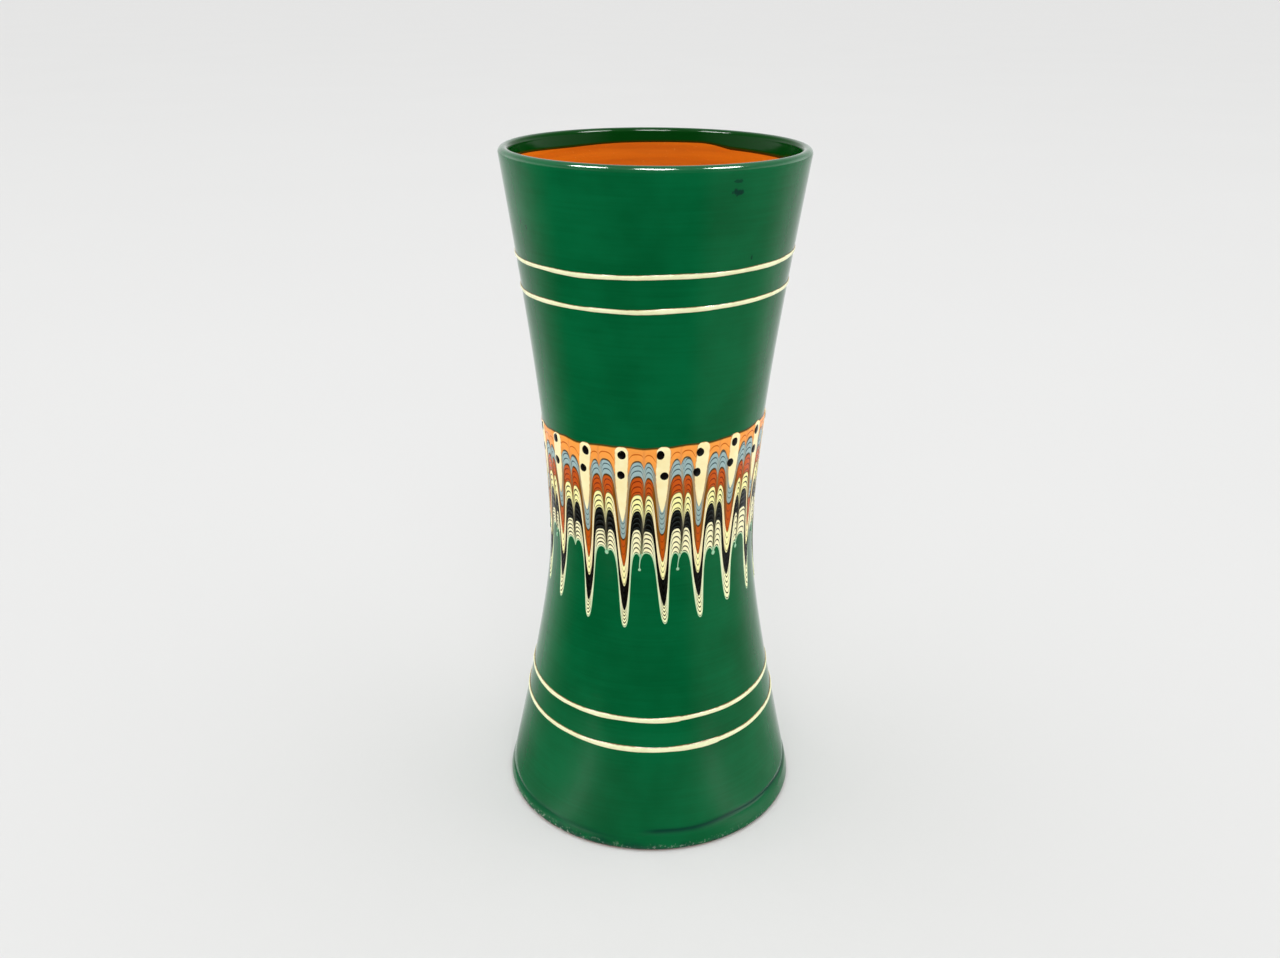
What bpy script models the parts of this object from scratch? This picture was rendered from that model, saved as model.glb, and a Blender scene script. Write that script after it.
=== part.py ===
"""A thrown earthenware vase with trailed slip, built up layer by layer as a potter makes it.

The clay body carries a green slip coat. On the coat lie four cream ring lines, six wavy slip bands
that run right round the waist, and a row of cream drops that drag the bands down into points.
Sizes are in metres, +Z is up, and the origin is the centre of the foot, on the table.
"""

import math
from typing import NamedTuple

import bpy

MM = 0.001

# The glazed outer wall: a hyperbola above the waist and another below it
WAIST_HEIGHT = 110 * MM
NECK_HEIGHT = 140 * MM
WAIST_RADIUS = 38.6 * MM
RIM_RADIUS = 53.3 * MM
FOOT_RADIUS = 55.0 * MM
NECK_BEND = 60 * MM
SKIRT_BEND = 33 * MM

# Lip, foot bead and hollow
LIP_RADIUS = 1.9 * MM
BEAD_HEIGHT = 8.8 * MM
BEAD_BULGE = 2.9 * MM
BEAD_INSET = 0.6 * MM
BEAD_TOP_DEGREES = 55
BEAD_FOOT_DEGREES = -62
GROOVE_HEIGHT = 1.2 * MM
WALL_AT_FLOOR = 6.5 * MM
FLOOR_THICKNESS = 7 * MM
FLOOR_FILLET = 9 * MM
FOOT_RING_WIDTH = 10 * MM
FOOT_RECESS = 3 * MM

# Slip layers and the gap that keeps each one clear of what it lies on
CLEARANCE = 0.3 * MM
EDGE_CLEARANCE = 0.15 * MM
COAT_THICKNESS = 0.5 * MM
COAT_INSIDE_MOUTH = 5.8 * MM
LINE_WIDTH = 1.8 * MM
LINE_HEIGHT = 0.6 * MM
BAND_THICKNESS = 0.6 * MM
DROP_THICKNESS = 0.8 * MM

# Ring lines: the pair below the rim is measured down from the lip, the other up from the table
RIM_TO_LINE = 34.5 * MM
RIM_LINE_SPACING = 11.4 * MM
FOOT_TO_LINE = 39.9 * MM
FOOT_LINE_SPACING = 11.1 * MM

# Wavy bands: the top edge's height over the waist, and the pull of the drops on that edge
BANDS_ABOVE_WAIST = 45.9 * MM
TOP_DRAG = 24.9 * MM
DRAG_HALF_WIDTH_TOP = 1.9 * MM
DRAG_HALF_WIDTH_BOTTOM = 2.65 * MM
DRAG_SHOULDER_TOP = 6.0
DRAG_SHOULDER_BOTTOM = 4.0
NOTCH_HALF_WIDTH = 0.5 * MM

# Depth of each band at an arch
ORANGE_DEPTH = 5.0 * MM
BLUE_DEPTH = 6.2 * MM
RUST_DEPTH = 6.4 * MM
YELLOW_DEPTH = 6.7 * MM
BLACK_DEPTH = 8.8 * MM
CREAM_DEPTH = 8.2 * MM

# How far a drop drags the lower edge of each band
ORANGE_DRAG = 22.1 * MM
BLUE_DRAG = 22.2 * MM
RUST_DRAG = 25.3 * MM
YELLOW_DRAG = 26.6 * MM
BLACK_DRAG = 27.3 * MM
CREAM_DRAG = 26.6 * MM

# How far the lower edge of each band dips in the notch between two arches
ORANGE_NOTCH = 1.0 * MM
BLUE_NOTCH = 2.5 * MM
RUST_NOTCH = 5.0 * MM
YELLOW_NOTCH = 6.5 * MM
BLACK_NOTCH = 5.0 * MM
CREAM_NOTCH = 1.5 * MM

# Cream drops: the first one's angle is read from the front, towards the right
DROP_COUNT = 18
FIRST_DROP_ANGLE = math.radians(4.6)
DROP_HALF_WIDTH = 2.4 * MM
DROP_RISE = 0.6 * MM
DROP_HEAD_ROUNDING = 1.4 * MM

# Faceting
TURN_STEPS = 36
WALL_SPANS = 6
HOLLOW_SPANS = 8
ARC_POINTS = 3
BEAD_POINTS = 4
MERGE_DISTANCE = 0.00001
DROP_COLUMNS = (0, 0.54, 0.8, 1)
DROP_ROWS = (0, 0.5, 1)
SHARP_ANGLE = math.radians(40)


class Band(NamedTuple):
    """One slip band: its depth at an arch, and how far drops and notches pull its lower edge."""

    name: str
    colour: tuple
    depth: float
    drag: float
    notch: float


BANDS = (
    Band("orange_slip_band", (0.91, 0.31, 0.07), ORANGE_DEPTH, ORANGE_DRAG, ORANGE_NOTCH),
    Band("blue_slip_band", (0.22, 0.35, 0.42), BLUE_DEPTH, BLUE_DRAG, BLUE_NOTCH),
    Band("rust_slip_band", (0.58, 0.08, 0.01), RUST_DEPTH, RUST_DRAG, RUST_NOTCH),
    Band("yellow_slip_band", (0.95, 0.84, 0.33), YELLOW_DEPTH, YELLOW_DRAG, YELLOW_NOTCH),
    Band("black_slip_band", (0.007, 0.008, 0.007), BLACK_DEPTH, BLACK_DRAG, BLACK_NOTCH),
    Band("cream_slip_band", (0.87, 0.79, 0.48), CREAM_DEPTH, CREAM_DRAG, CREAM_NOTCH),
)

CLAY = (0.66, 0.13, 0.012)
GREEN = (0.004, 0.105, 0.035)
CREAM = (0.85, 0.82, 0.58)
CLAY_ROUGHNESS = 0.75
SLIP_ROUGHNESS = 0.12

HEIGHT = WAIST_HEIGHT + NECK_HEIGHT
LIP_HEIGHT = HEIGHT - LIP_RADIUS
BEAD_MIDDLE = BEAD_HEIGHT / 2
WALL_FOOT = BEAD_HEIGHT + GROOVE_HEIGHT
CLAY_INSET = COAT_THICKNESS + CLEARANCE
BANDS_TOP = WAIST_HEIGHT + BANDS_ABOVE_WAIST
DROP_PITCH = 2 * math.pi / DROP_COUNT
HALF_PITCH = WAIST_RADIUS * DROP_PITCH / 2


def hyperbola(distance, full_distance, bend):
    """Share of a full flare, from none at the waist to one at full_distance from it."""
    flare = math.hypot(distance, bend) - bend
    return flare / (math.hypot(full_distance, bend) - bend)


def wall_radius(height):
    """Radius of the glazed outer wall at a height."""
    if height > WAIST_HEIGHT:
        share = hyperbola(height - WAIST_HEIGHT, LIP_HEIGHT - WAIST_HEIGHT, NECK_BEND)
        return WAIST_RADIUS + (RIM_RADIUS - WAIST_RADIUS) * share
    share = hyperbola(WAIST_HEIGHT - height, WAIST_HEIGHT - WALL_FOOT, SKIRT_BEND)
    return WAIST_RADIUS + (FOOT_RADIUS - WAIST_RADIUS) * share


def bore_radius(height):
    """Radius of the hollow: the wall thickens evenly from the lip down to the floor."""
    share = (LIP_HEIGHT - height) / LIP_HEIGHT
    thickness = 2 * LIP_RADIUS + (WALL_AT_FLOOR - 2 * LIP_RADIUS) * share
    return wall_radius(height) - thickness


def steps(first, last, count):
    """Evenly spaced numbers from first to last."""
    return [first + (last - first) * index / (count - 1) for index in range(count)]


def wall_heights():
    """Ring heights from the lip down to the foot, closest at the waist, where the wall bends most."""
    shares = steps(0, 1, WALL_SPANS + 1)
    neck, skirt = LIP_HEIGHT - WAIST_HEIGHT, WAIST_HEIGHT - WALL_FOOT
    above = [NECK_BEND * math.sinh(share * math.asinh(neck / NECK_BEND)) for share in shares]
    below = [SKIRT_BEND * math.sinh(share * math.asinh(skirt / SKIRT_BEND)) for share in shares]
    return [WAIST_HEIGHT + rise for rise in above[::-1]] + [WAIST_HEIGHT - fall for fall in below[1:]]


def ellipse(centre, half_width, half_height, first_degrees, last_degrees, count):
    """Points of an ellipse's arc, as radius and height."""
    angles = [math.radians(angle) for angle in steps(first_degrees, last_degrees, count)]
    return [
        (centre[0] + half_width * math.cos(angle), centre[1] + half_height * math.sin(angle))
        for angle in angles
    ]


def outer_line(inset):
    """The pot's outer line from the lip's crest down to the foot, an inset inside the glaze."""
    lip = (RIM_RADIUS - LIP_RADIUS, LIP_HEIGHT)
    points = ellipse(lip, LIP_RADIUS - inset, LIP_RADIUS - inset, 90, 0, ARC_POINTS)
    for height in wall_heights()[1:]:
        points.append((wall_radius(height) - inset, height))
    bead = (FOOT_RADIUS - BEAD_INSET, BEAD_MIDDLE)
    half_width, half_height = BEAD_BULGE - inset, BEAD_MIDDLE - inset
    points += ellipse(bead, half_width, half_height, BEAD_TOP_DEGREES, BEAD_FOOT_DEGREES, BEAD_POINTS)
    return points


def mouth_line(inset):
    """The pot's inner line from the lip's crest down to where the coat ends in the mouth."""
    lip = (RIM_RADIUS - LIP_RADIUS, LIP_HEIGHT)
    points = ellipse(lip, LIP_RADIUS - inset, LIP_RADIUS - inset, 90, 180, ARC_POINTS)
    end = HEIGHT - COAT_INSIDE_MOUTH
    points.append((bore_radius(end) + inset, end))
    return points


def clay_line():
    """The clay's half section, from the floor of the hollow over the lip to the foot's underside."""
    floor = FOOT_RECESS + FLOOR_THICKNESS
    hollow_foot = floor + FLOOR_FILLET
    side = bore_radius(hollow_foot) + CLAY_INSET
    fillet_centre = (side - FLOOR_FILLET, hollow_foot)
    points = [(0, floor)]
    points += ellipse(fillet_centre, FLOOR_FILLET, FLOOR_FILLET, -90, 0, ARC_POINTS)
    for height in steps(hollow_foot, HEIGHT - COAT_INSIDE_MOUTH, HOLLOW_SPANS + 1)[1:-1]:
        points.append((bore_radius(height) + CLAY_INSET, height))
    points += mouth_line(CLAY_INSET)[:0:-1]
    points += outer_line(CLAY_INSET)
    foot_outer = points[-1][0] - CLEARANCE
    foot_inner = foot_outer - FOOT_RING_WIDTH
    points += [(foot_outer, 0), (foot_inner, 0)]
    points += [(foot_inner - FOOT_RECESS, FOOT_RECESS), (0, FOOT_RECESS)]
    return points


def coat_line():
    """The coat's closed section: its glazed face downwards, then back up against the clay."""
    glazed = mouth_line(0)[:0:-1] + outer_line(0)
    backing = outer_line(COAT_THICKNESS)[::-1] + mouth_line(COAT_THICKNESS)[1:]
    return glazed + backing


def ring_line(height):
    """A trailed line's closed section: a low dome that lies on the coat."""
    half = LINE_WIDTH / 2
    dome = ((half, 0), (half / 2, LINE_HEIGHT), (-half / 2, LINE_HEIGHT), (-half, 0))
    return [(wall_radius(height + up) + CLEARANCE + out, height + up) for up, out in dome]


def drag_share(distance, half_width, shoulder):
    """A bell: one on the axis, one half at half_width, and steeper with a larger shoulder."""
    return 1 / (1 + (abs(distance) / half_width) ** shoulder)


def edge_shape(index):
    """An edge between two bands: its arch height, drag, notch, half-width and shoulder."""
    share = index / len(BANDS)
    arch = BANDS_TOP - sum(band.depth for band in BANDS[:index])
    drag = BANDS[index - 1].drag if index else TOP_DRAG
    notch = BANDS[index - 1].notch if index else 0
    half_width = DRAG_HALF_WIDTH_TOP + (DRAG_HALF_WIDTH_BOTTOM - DRAG_HALF_WIDTH_TOP) * share
    shoulder = DRAG_SHOULDER_TOP + (DRAG_SHOULDER_BOTTOM - DRAG_SHOULDER_TOP) * share
    return arch, drag, notch, half_width, shoulder


def edge_height(index, distance, shift):
    """Height of a band edge at a distance from a drop's axis, moved outwards by a shift."""
    arch, drag, notch, half_width, shoulder = edge_shape(index)
    pull = drag * drag_share(distance, half_width + shift, shoulder)
    pull += notch * drag_share(HALF_PITCH - abs(distance), NOTCH_HALF_WIDTH, 2)
    return arch - shift - pull


def on_wall(axis, distance, height):
    """A point just off the coat, at a distance along the waist from a drop's axis."""
    angle = axis + distance / WAIST_RADIUS
    radius = wall_radius(height) + CLEARANCE
    return (radius * math.sin(angle), -radius * math.cos(angle), height)


def material(name, colour, roughness):
    """A plain Principled material in linear colour."""
    made = bpy.data.materials.new(name)
    made.use_nodes = True
    shader = made.node_tree.nodes["Principled BSDF"]
    shader.inputs["Base Color"].default_value = (*colour, 1)
    shader.inputs["Roughness"].default_value = roughness
    shader.inputs["Metallic"].default_value = 0
    return made


def place(name, mesh, finish, collection):
    """Put a mesh in the collection as a named sub-part."""
    mesh.materials.append(finish)
    piece = bpy.data.objects.new(name, mesh)
    collection.objects.link(piece)
    return piece


def turn(name, line, is_closed, finish, collection):
    """A turned sub-part: a half section carried round the vase's axis."""
    count = len(line)
    edges = [(index, index + 1) for index in range(count - 1)]
    if is_closed:
        edges.append((count - 1, 0))
    mesh = bpy.data.meshes.new(name)
    mesh.from_pydata([(radius, 0, height) for radius, height in line], edges, [])
    piece = place(name, mesh, finish, collection)
    screw = piece.modifiers.new("Turn", "SCREW")
    screw.axis = "Z"
    screw.steps = TURN_STEPS
    screw.render_steps = TURN_STEPS
    screw.use_merge_vertices = True
    screw.merge_threshold = MERGE_DISTANCE
    screw.use_smooth_shade = True


def lay(name, rows, is_ring, thickness, finish, collection):
    """A slip layer: rows of points on the wall, from the top down, thickened outwards."""
    width = len(rows[0])
    spans = width if is_ring else width - 1
    faces = []
    for row in range(len(rows) - 1):
        for column in range(spans):
            after = (column + 1) % width
            top, bottom = row * width, (row + 1) * width
            faces.append((top + column, bottom + column, bottom + after, top + after))
    mesh = bpy.data.meshes.new(name)
    mesh.from_pydata([point for row in rows for point in row], [], faces)
    mesh.shade_smooth()
    mesh.set_sharp_from_angle(angle=SHARP_ANGLE)
    piece = place(name, mesh, finish, collection)
    solidify = piece.modifiers.new("Thickness", "SOLIDIFY")
    solidify.thickness = thickness
    solidify.offset = 1


def both_sides(distances):
    """Distances on both sides of a drop's axis, from left to right."""
    return [-distance for distance in distances[:0:-1]] + list(distances)


def band_columns():
    """Drop axis and distance from it for each column round the vase, closest at the drops."""
    distances = [share * DROP_HALF_WIDTH for share in DROP_COLUMNS]
    distances.append((DROP_HALF_WIDTH + HALF_PITCH) / 2)
    columns = []
    for drop in range(DROP_COUNT):
        axis = FIRST_DROP_ANGLE + drop * DROP_PITCH
        columns += [(axis, distance) for distance in [-HALF_PITCH, *both_sides(distances)]]
    return columns


def band_rows(index):
    """The upper and the lower edge of a band, each half the edge clearance from where they meet."""
    rows = []
    for edge, shift in ((index, EDGE_CLEARANCE / 2), (index + 1, -EDGE_CLEARANCE / 2)):
        rows.append([
            on_wall(axis, distance, edge_height(edge, distance, shift))
            for axis, distance in band_columns()
        ])
    return rows


def drop_rows(axis):
    """A drop's rows, from its round head down to the edge of the pocket that it fills."""
    rows = [[] for _ in DROP_ROWS]
    for share in both_sides(DROP_COLUMNS):
        distance = share * DROP_HALF_WIDTH
        head = BANDS_TOP + DROP_RISE - DROP_HEAD_ROUNDING * (1 - math.sqrt(1 - share * share))
        foot = edge_height(0, distance, -EDGE_CLEARANCE / 2)
        for row, fall in zip(rows, DROP_ROWS):
            row.append(on_wall(axis, distance, head + (foot - head) * fall))
    return rows


def build():
    """Clear the scene and build every sub-part of the vase."""
    for leftover in list(bpy.data.objects):
        bpy.data.objects.remove(leftover)
    vase = bpy.data.collections.new("slip_decorated_vase")
    bpy.context.scene.collection.children.link(vase)

    turn("clay_body", clay_line(), False, material("terracotta", CLAY, CLAY_ROUGHNESS), vase)
    turn("green_slip_coat", coat_line(), True, material("green_slip", GREEN, SLIP_ROUGHNESS), vase)

    rim_line = HEIGHT - RIM_TO_LINE
    lines = {
        "rim_line_upper": rim_line,
        "rim_line_lower": rim_line - RIM_LINE_SPACING,
        "foot_line_upper": FOOT_TO_LINE + FOOT_LINE_SPACING,
        "foot_line_lower": FOOT_TO_LINE,
    }
    for name, height in lines.items():
        turn(name, ring_line(height), True, material(name, CREAM, SLIP_ROUGHNESS), vase)

    for index, band in enumerate(BANDS):
        finish = material(band.name, band.colour, SLIP_ROUGHNESS)
        lay(band.name, band_rows(index), True, BAND_THICKNESS, finish, vase)

    for drop in range(DROP_COUNT):
        name = f"cream_drop_{drop + 1:02d}"
        finish = material(name, CREAM, SLIP_ROUGHNESS)
        rows = drop_rows(FIRST_DROP_ANGLE + drop * DROP_PITCH)
        lay(name, rows, False, DROP_THICKNESS, finish, vase)


build()
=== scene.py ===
"""The looks of a thrown earthenware vase with trailed slip under a clear glaze.

Every layer is a surface worked out on a grid: the bare clay, the green coat, four trailed lines, six
slip bands, the cream drops that drag the bands into points, their black dots, and the drips below.
Sizes are in metres, +Z is up, and angles are read from the front (-Y) towards the right (+X).
"""

import logging
import math
from dataclasses import dataclass, field
from enum import Enum
from functools import reduce

import bpy
import numpy as np
from mathutils import Matrix, Vector

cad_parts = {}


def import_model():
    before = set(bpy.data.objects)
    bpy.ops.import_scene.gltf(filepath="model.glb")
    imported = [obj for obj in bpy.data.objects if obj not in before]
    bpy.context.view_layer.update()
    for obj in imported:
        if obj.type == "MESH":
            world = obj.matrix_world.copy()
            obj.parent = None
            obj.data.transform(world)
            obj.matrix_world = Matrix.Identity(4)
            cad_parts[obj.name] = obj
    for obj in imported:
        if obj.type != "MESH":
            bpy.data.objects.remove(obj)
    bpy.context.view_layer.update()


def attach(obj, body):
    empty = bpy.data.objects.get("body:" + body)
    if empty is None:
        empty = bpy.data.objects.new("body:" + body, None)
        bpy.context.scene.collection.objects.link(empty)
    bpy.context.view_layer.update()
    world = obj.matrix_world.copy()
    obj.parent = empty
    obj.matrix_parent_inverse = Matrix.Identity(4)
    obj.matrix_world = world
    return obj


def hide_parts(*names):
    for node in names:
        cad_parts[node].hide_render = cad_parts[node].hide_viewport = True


LOG = logging.getLogger("vase")
MM = 0.001
TURN = 2 * math.pi

# Layers are closed by rows and columns that lie this far inside the coat's face.
ROOT = -0.2 * MM

Array = np.ndarray
Triple = tuple[float, float, float]
Colour = Triple
Socket = bpy.types.NodeSocket
Outputs = bpy.types.bpy_prop_collection
Material = bpy.types.Material


def paint(red: int, green: int, blue: int) -> Colour:
    """Linear colour of a screen colour given from 0 to 255."""
    screen = np.array([red, green, blue]) / 255
    return tuple(np.where(screen <= 0.04045, screen / 12.92, ((screen + 0.055) / 1.055) ** 2.4).tolist())


def smooth_step(value: Array, low: float, high: float) -> Array:
    """Rise from 0 at low to 1 at high along 3s^2 - 2s^3."""
    share = np.clip((value - low) / (high - low), 0, 1)
    return share * share * (3 - 2 * share)


def bell(distance: Array, half_width: Array, shoulder: Array) -> Array:
    """A bell 1 / (1 + |d / w|^n): one on its axis, one half at w, steeper with a larger n."""
    return 1 / (1 + np.abs(distance / half_width) ** shoulder)


def drag(distance: Array, round_width: float, half_width: float, shoulder: float) -> Array:
    """A drop's pull 1 / (1 + (d / r)^2 + |d / w|^n): a round point between steep flanks."""
    return 1 / (1 + (distance / round_width) ** 2 + np.abs(distance / half_width) ** shoulder)


def cusp(distance: Array, width: float) -> Array:
    """A notch exp(-|d / w|^1.2): a narrow dip between two round shoulders."""
    return np.exp(-np.abs(distance / width) ** 1.2)


def turn_from(angle: Array, axis: Array) -> Array:
    """Angle from an axis, wrapped to half a turn on either side."""
    return (angle - axis + math.pi) % TURN - math.pi


def waves(angle: Array, seed: int, first: int, last: int) -> Array:
    """Smooth unevenness round a turn.

    The sum of sines with first to last waves a turn, each with a seeded phase and a size that
    falls as one over its number of waves, divided so that the sum stays within about one.

    Args:
        angle: angles in radians.
        seed: choice of phases.
        first: fewest waves a turn.
        last: most waves a turn.

    Returns:
        One value for each angle.
    """
    counts = np.arange(first, last + 1)
    phases = np.random.default_rng(seed).uniform(0, TURN, counts.size)
    sines = np.sin(np.asarray(angle)[..., None] * counts + phases) / counts
    return sines.sum(axis=-1) / np.sqrt((1 / counts**2).sum())


def around(count: int) -> Array:
    """Angles of a number of columns, evenly round one turn."""
    return np.linspace(-math.pi, math.pi, count, endpoint=False)


def with_ends(rows: Array) -> Array:
    """Rows with the first and the last of them repeated."""
    return np.vstack([rows[:1], rows, rows[-1:]])


@dataclass
class Lattice:
    """A grid of points, rows downwards and columns to the right as seen from outside.

    Attributes:
        points: rows x columns x 3 positions.
        ring_rows: whether the last row joins the first.
        ring_columns: whether the last column joins the first.
        capped: whether the first and last rows are closed by a fan to a pole.
        marks: named values, one for each point, which materials read as attributes.
    """

    points: Array
    ring_rows: bool = False
    ring_columns: bool = True
    capped: bool = False
    marks: dict[str, Array] = field(default_factory=dict)

    def corners(self) -> Array:
        """All points as one list, with the two poles last where the lattice is capped."""
        poles = self.points[[0, -1]].mean(axis=1) if self.capped else np.empty((0, 3))
        return np.vstack([self.points.reshape(-1, 3), poles])

    def mark(self, name: str) -> Array:
        """A named value for every corner, poles included."""
        grid = np.broadcast_to(self.marks[name], self.points.shape[:2])
        return np.append(grid, grid[[0, -1]].mean(axis=1) if self.capped else [])

    def faces(self, start: int) -> list[list[int]]:
        """Corner numbers of every face, counted from start, so that the faces point outwards.

        Args:
            start: number of the lattice's first corner.

        Returns:
            Four-sided faces, then the triangles of the two fans.
        """
        rows, columns = self.points.shape[:2]
        index = np.arange(rows * columns).reshape(rows, columns) + start
        wide = np.hstack([index, index[:, :1]]) if self.ring_columns else index
        tall = np.vstack([wide, wide[:1]]) if self.ring_rows else wide
        quads = np.stack([tall[:-1, :-1], tall[1:, :-1], tall[1:, 1:], tall[:-1, 1:]], axis=-1)
        found = quads.reshape(-1, 4).tolist()
        if self.capped:
            pole = start + rows * columns
            top = np.full(wide.shape[1] - 1, pole)
            found += np.stack([top, wide[0, :-1], wide[0, 1:]], axis=-1).tolist()
            found += np.stack([wide[-1, :-1], top + 1, wide[-1, 1:]], axis=-1).tolist()
        return found


def make_mesh(name: str, lattices: list[Lattice], material: Material) -> bpy.types.Mesh:
    """Put lattices into one smooth mesh, with their marks as attributes.

    Args:
        name: the mesh's name.
        lattices: grids with the same marks.
        material: its finish.

    Returns:
        The mesh.
    """
    corners = [lattice.corners() for lattice in lattices]
    starts = np.cumsum([0] + [len(points) for points in corners])
    faces = [face for lattice, start in zip(lattices, starts) for face in lattice.faces(int(start))]
    mesh = bpy.data.meshes.new(name)
    mesh.from_pydata(np.vstack(corners).tolist(), [], faces)
    for mark in lattices[0].marks:
        values = np.concatenate([lattice.mark(mark) for lattice in lattices])
        attribute = mesh.attributes.new(mark, "FLOAT", "POINT")
        attribute.data.foreach_set("value", values.astype(np.float32))
    mesh.shade_smooth()
    mesh.materials.append(material)
    return mesh


def add(name: str, data: bpy.types.ID) -> bpy.types.Object:
    """Put a mesh, a light or a camera into the scene.

    Args:
        name: the object's name.
        data: what it shows.

    Returns:
        The object.
    """
    made = bpy.data.objects.new(name, data)
    bpy.context.scene.collection.objects.link(made)
    return made


@dataclass(frozen=True)
class Form:
    """The thrown wall's sizes and the radii that follow from them."""

    height: float = 0.250
    waist_height: float = 0.110
    wall_foot: float = 0.010
    waist_radius: float = 0.0386
    rim_radius: float = 0.0533
    foot_radius: float = 0.0550
    neck_bend: float = 0.060
    skirt_bend: float = 0.033
    lip_radius: float = 0.0019
    wall_at_floor: float = 0.0065
    wobble: float = 0.00010

    @property
    def lip_height(self) -> float:
        """Height of the centre of the lip's round."""
        return self.height - self.lip_radius

    @staticmethod
    def flare(distance: Array, full_distance: float, bend: float) -> Array:
        """Share of a full flare on a hyperbola, none at the waist and one at full_distance."""
        return (np.hypot(distance, bend) - bend) / (np.hypot(full_distance, bend) - bend)

    def wall(self, height: Array, angle: Array = 0.0) -> Array:
        """Radius of the glazed outer face.

        The waist radius plus a hyperbola's flare, up to the rim and down to the foot, plus a wobble
        of two to four waves a turn.

        Args:
            height: heights in metres.
            angle: angles in radians.

        Returns:
            Radii in metres.
        """
        rise = np.asarray(height) - self.waist_height
        above = self.flare(rise, self.lip_height - self.waist_height, self.neck_bend)
        below = self.flare(rise, self.waist_height - self.wall_foot, self.skirt_bend)
        neck = (self.rim_radius - self.waist_radius) * above
        skirt = (self.foot_radius - self.waist_radius) * below
        return self.waist_radius + np.where(rise > 0, neck, skirt) + self.wobble * waves(angle, 3, 2, 4)

    def bore(self, height: Array, angle: Array = 0.0) -> Array:
        """Radius of the hollow: the wall thickens evenly from the lip down to the floor."""
        share = (self.lip_height - np.asarray(height)) / self.lip_height
        return self.wall(height, angle) - 2 * self.lip_radius * (1 - share) - self.wall_at_floor * share

    @staticmethod
    def at(radius: Array, angle: Array, height: Array) -> Array:
        """Points at radius, angle and height, with the angle read from the front to the right."""
        radius, angle, height = np.broadcast_arrays(radius, angle, height)
        return np.stack([radius * np.sin(angle), -radius * np.cos(angle), height], axis=-1)

    def on_wall(self, angle: Array, height: Array, lift: Array) -> Array:
        """Points a lift outside the glazed face."""
        return self.at(self.wall(height, angle) + lift, angle, height)


@dataclass
class Nodes:
    """A node tree, with short calls for its nodes and their links."""

    tree: bpy.types.NodeTree

    def feed(self, socket: Socket, value: object) -> None:
        """Link a socket to another, or set it to a plain value.

        Args:
            socket: the input.
            value: an output, a number, or a tuple for a vector or a colour.
        """
        if isinstance(value, Socket):
            self.tree.links.new(value, socket)
        elif isinstance(value, tuple):
            socket.default_value = (*value, 1.0) if len(socket.default_value) == 4 else value
        else:
            socket.default_value = value

    def node(self, kind: str, inputs: dict[str | int, object], **settings: object) -> Outputs:
        """A new node with its properties set and its inputs fed.

        Args:
            kind: the node's type.
            inputs: what goes into its inputs, by name or number.
            settings: its properties.

        Returns:
            Its outputs.
        """
        made = self.tree.nodes.new(kind)
        for setting, value in settings.items():
            setattr(made, setting, value)
        for key, value in inputs.items():
            self.feed(made.inputs[key], value)
        return made.outputs

    def sum(self, operation: str, first: object, second: object = 0.0) -> Socket:
        """A Math node of one or two values."""
        return self.node("ShaderNodeMath", {0: first, 1: second}, operation=operation)[0]

    def product(self, *values: object) -> Socket:
        """The product of several values."""
        return reduce(lambda first, second: self.sum("MULTIPLY", first, second), values)

    def step(self, value: object, low: object, high: object) -> Socket:
        """A smooth step from 0 at low to 1 at high, either of which may be the larger."""
        fed = {"Value": value, "From Min": low, "From Max": high}
        return self.node("ShaderNodeMapRange", fed, interpolation_type="SMOOTHSTEP")["Result"]

    def spread(self, value: object, low: object, high: object) -> Socket:
        """A value from 0 to 1 spread evenly from low to high."""
        return self.node("ShaderNodeMapRange", {"Value": value, "To Min": low, "To Max": high})["Result"]


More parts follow.
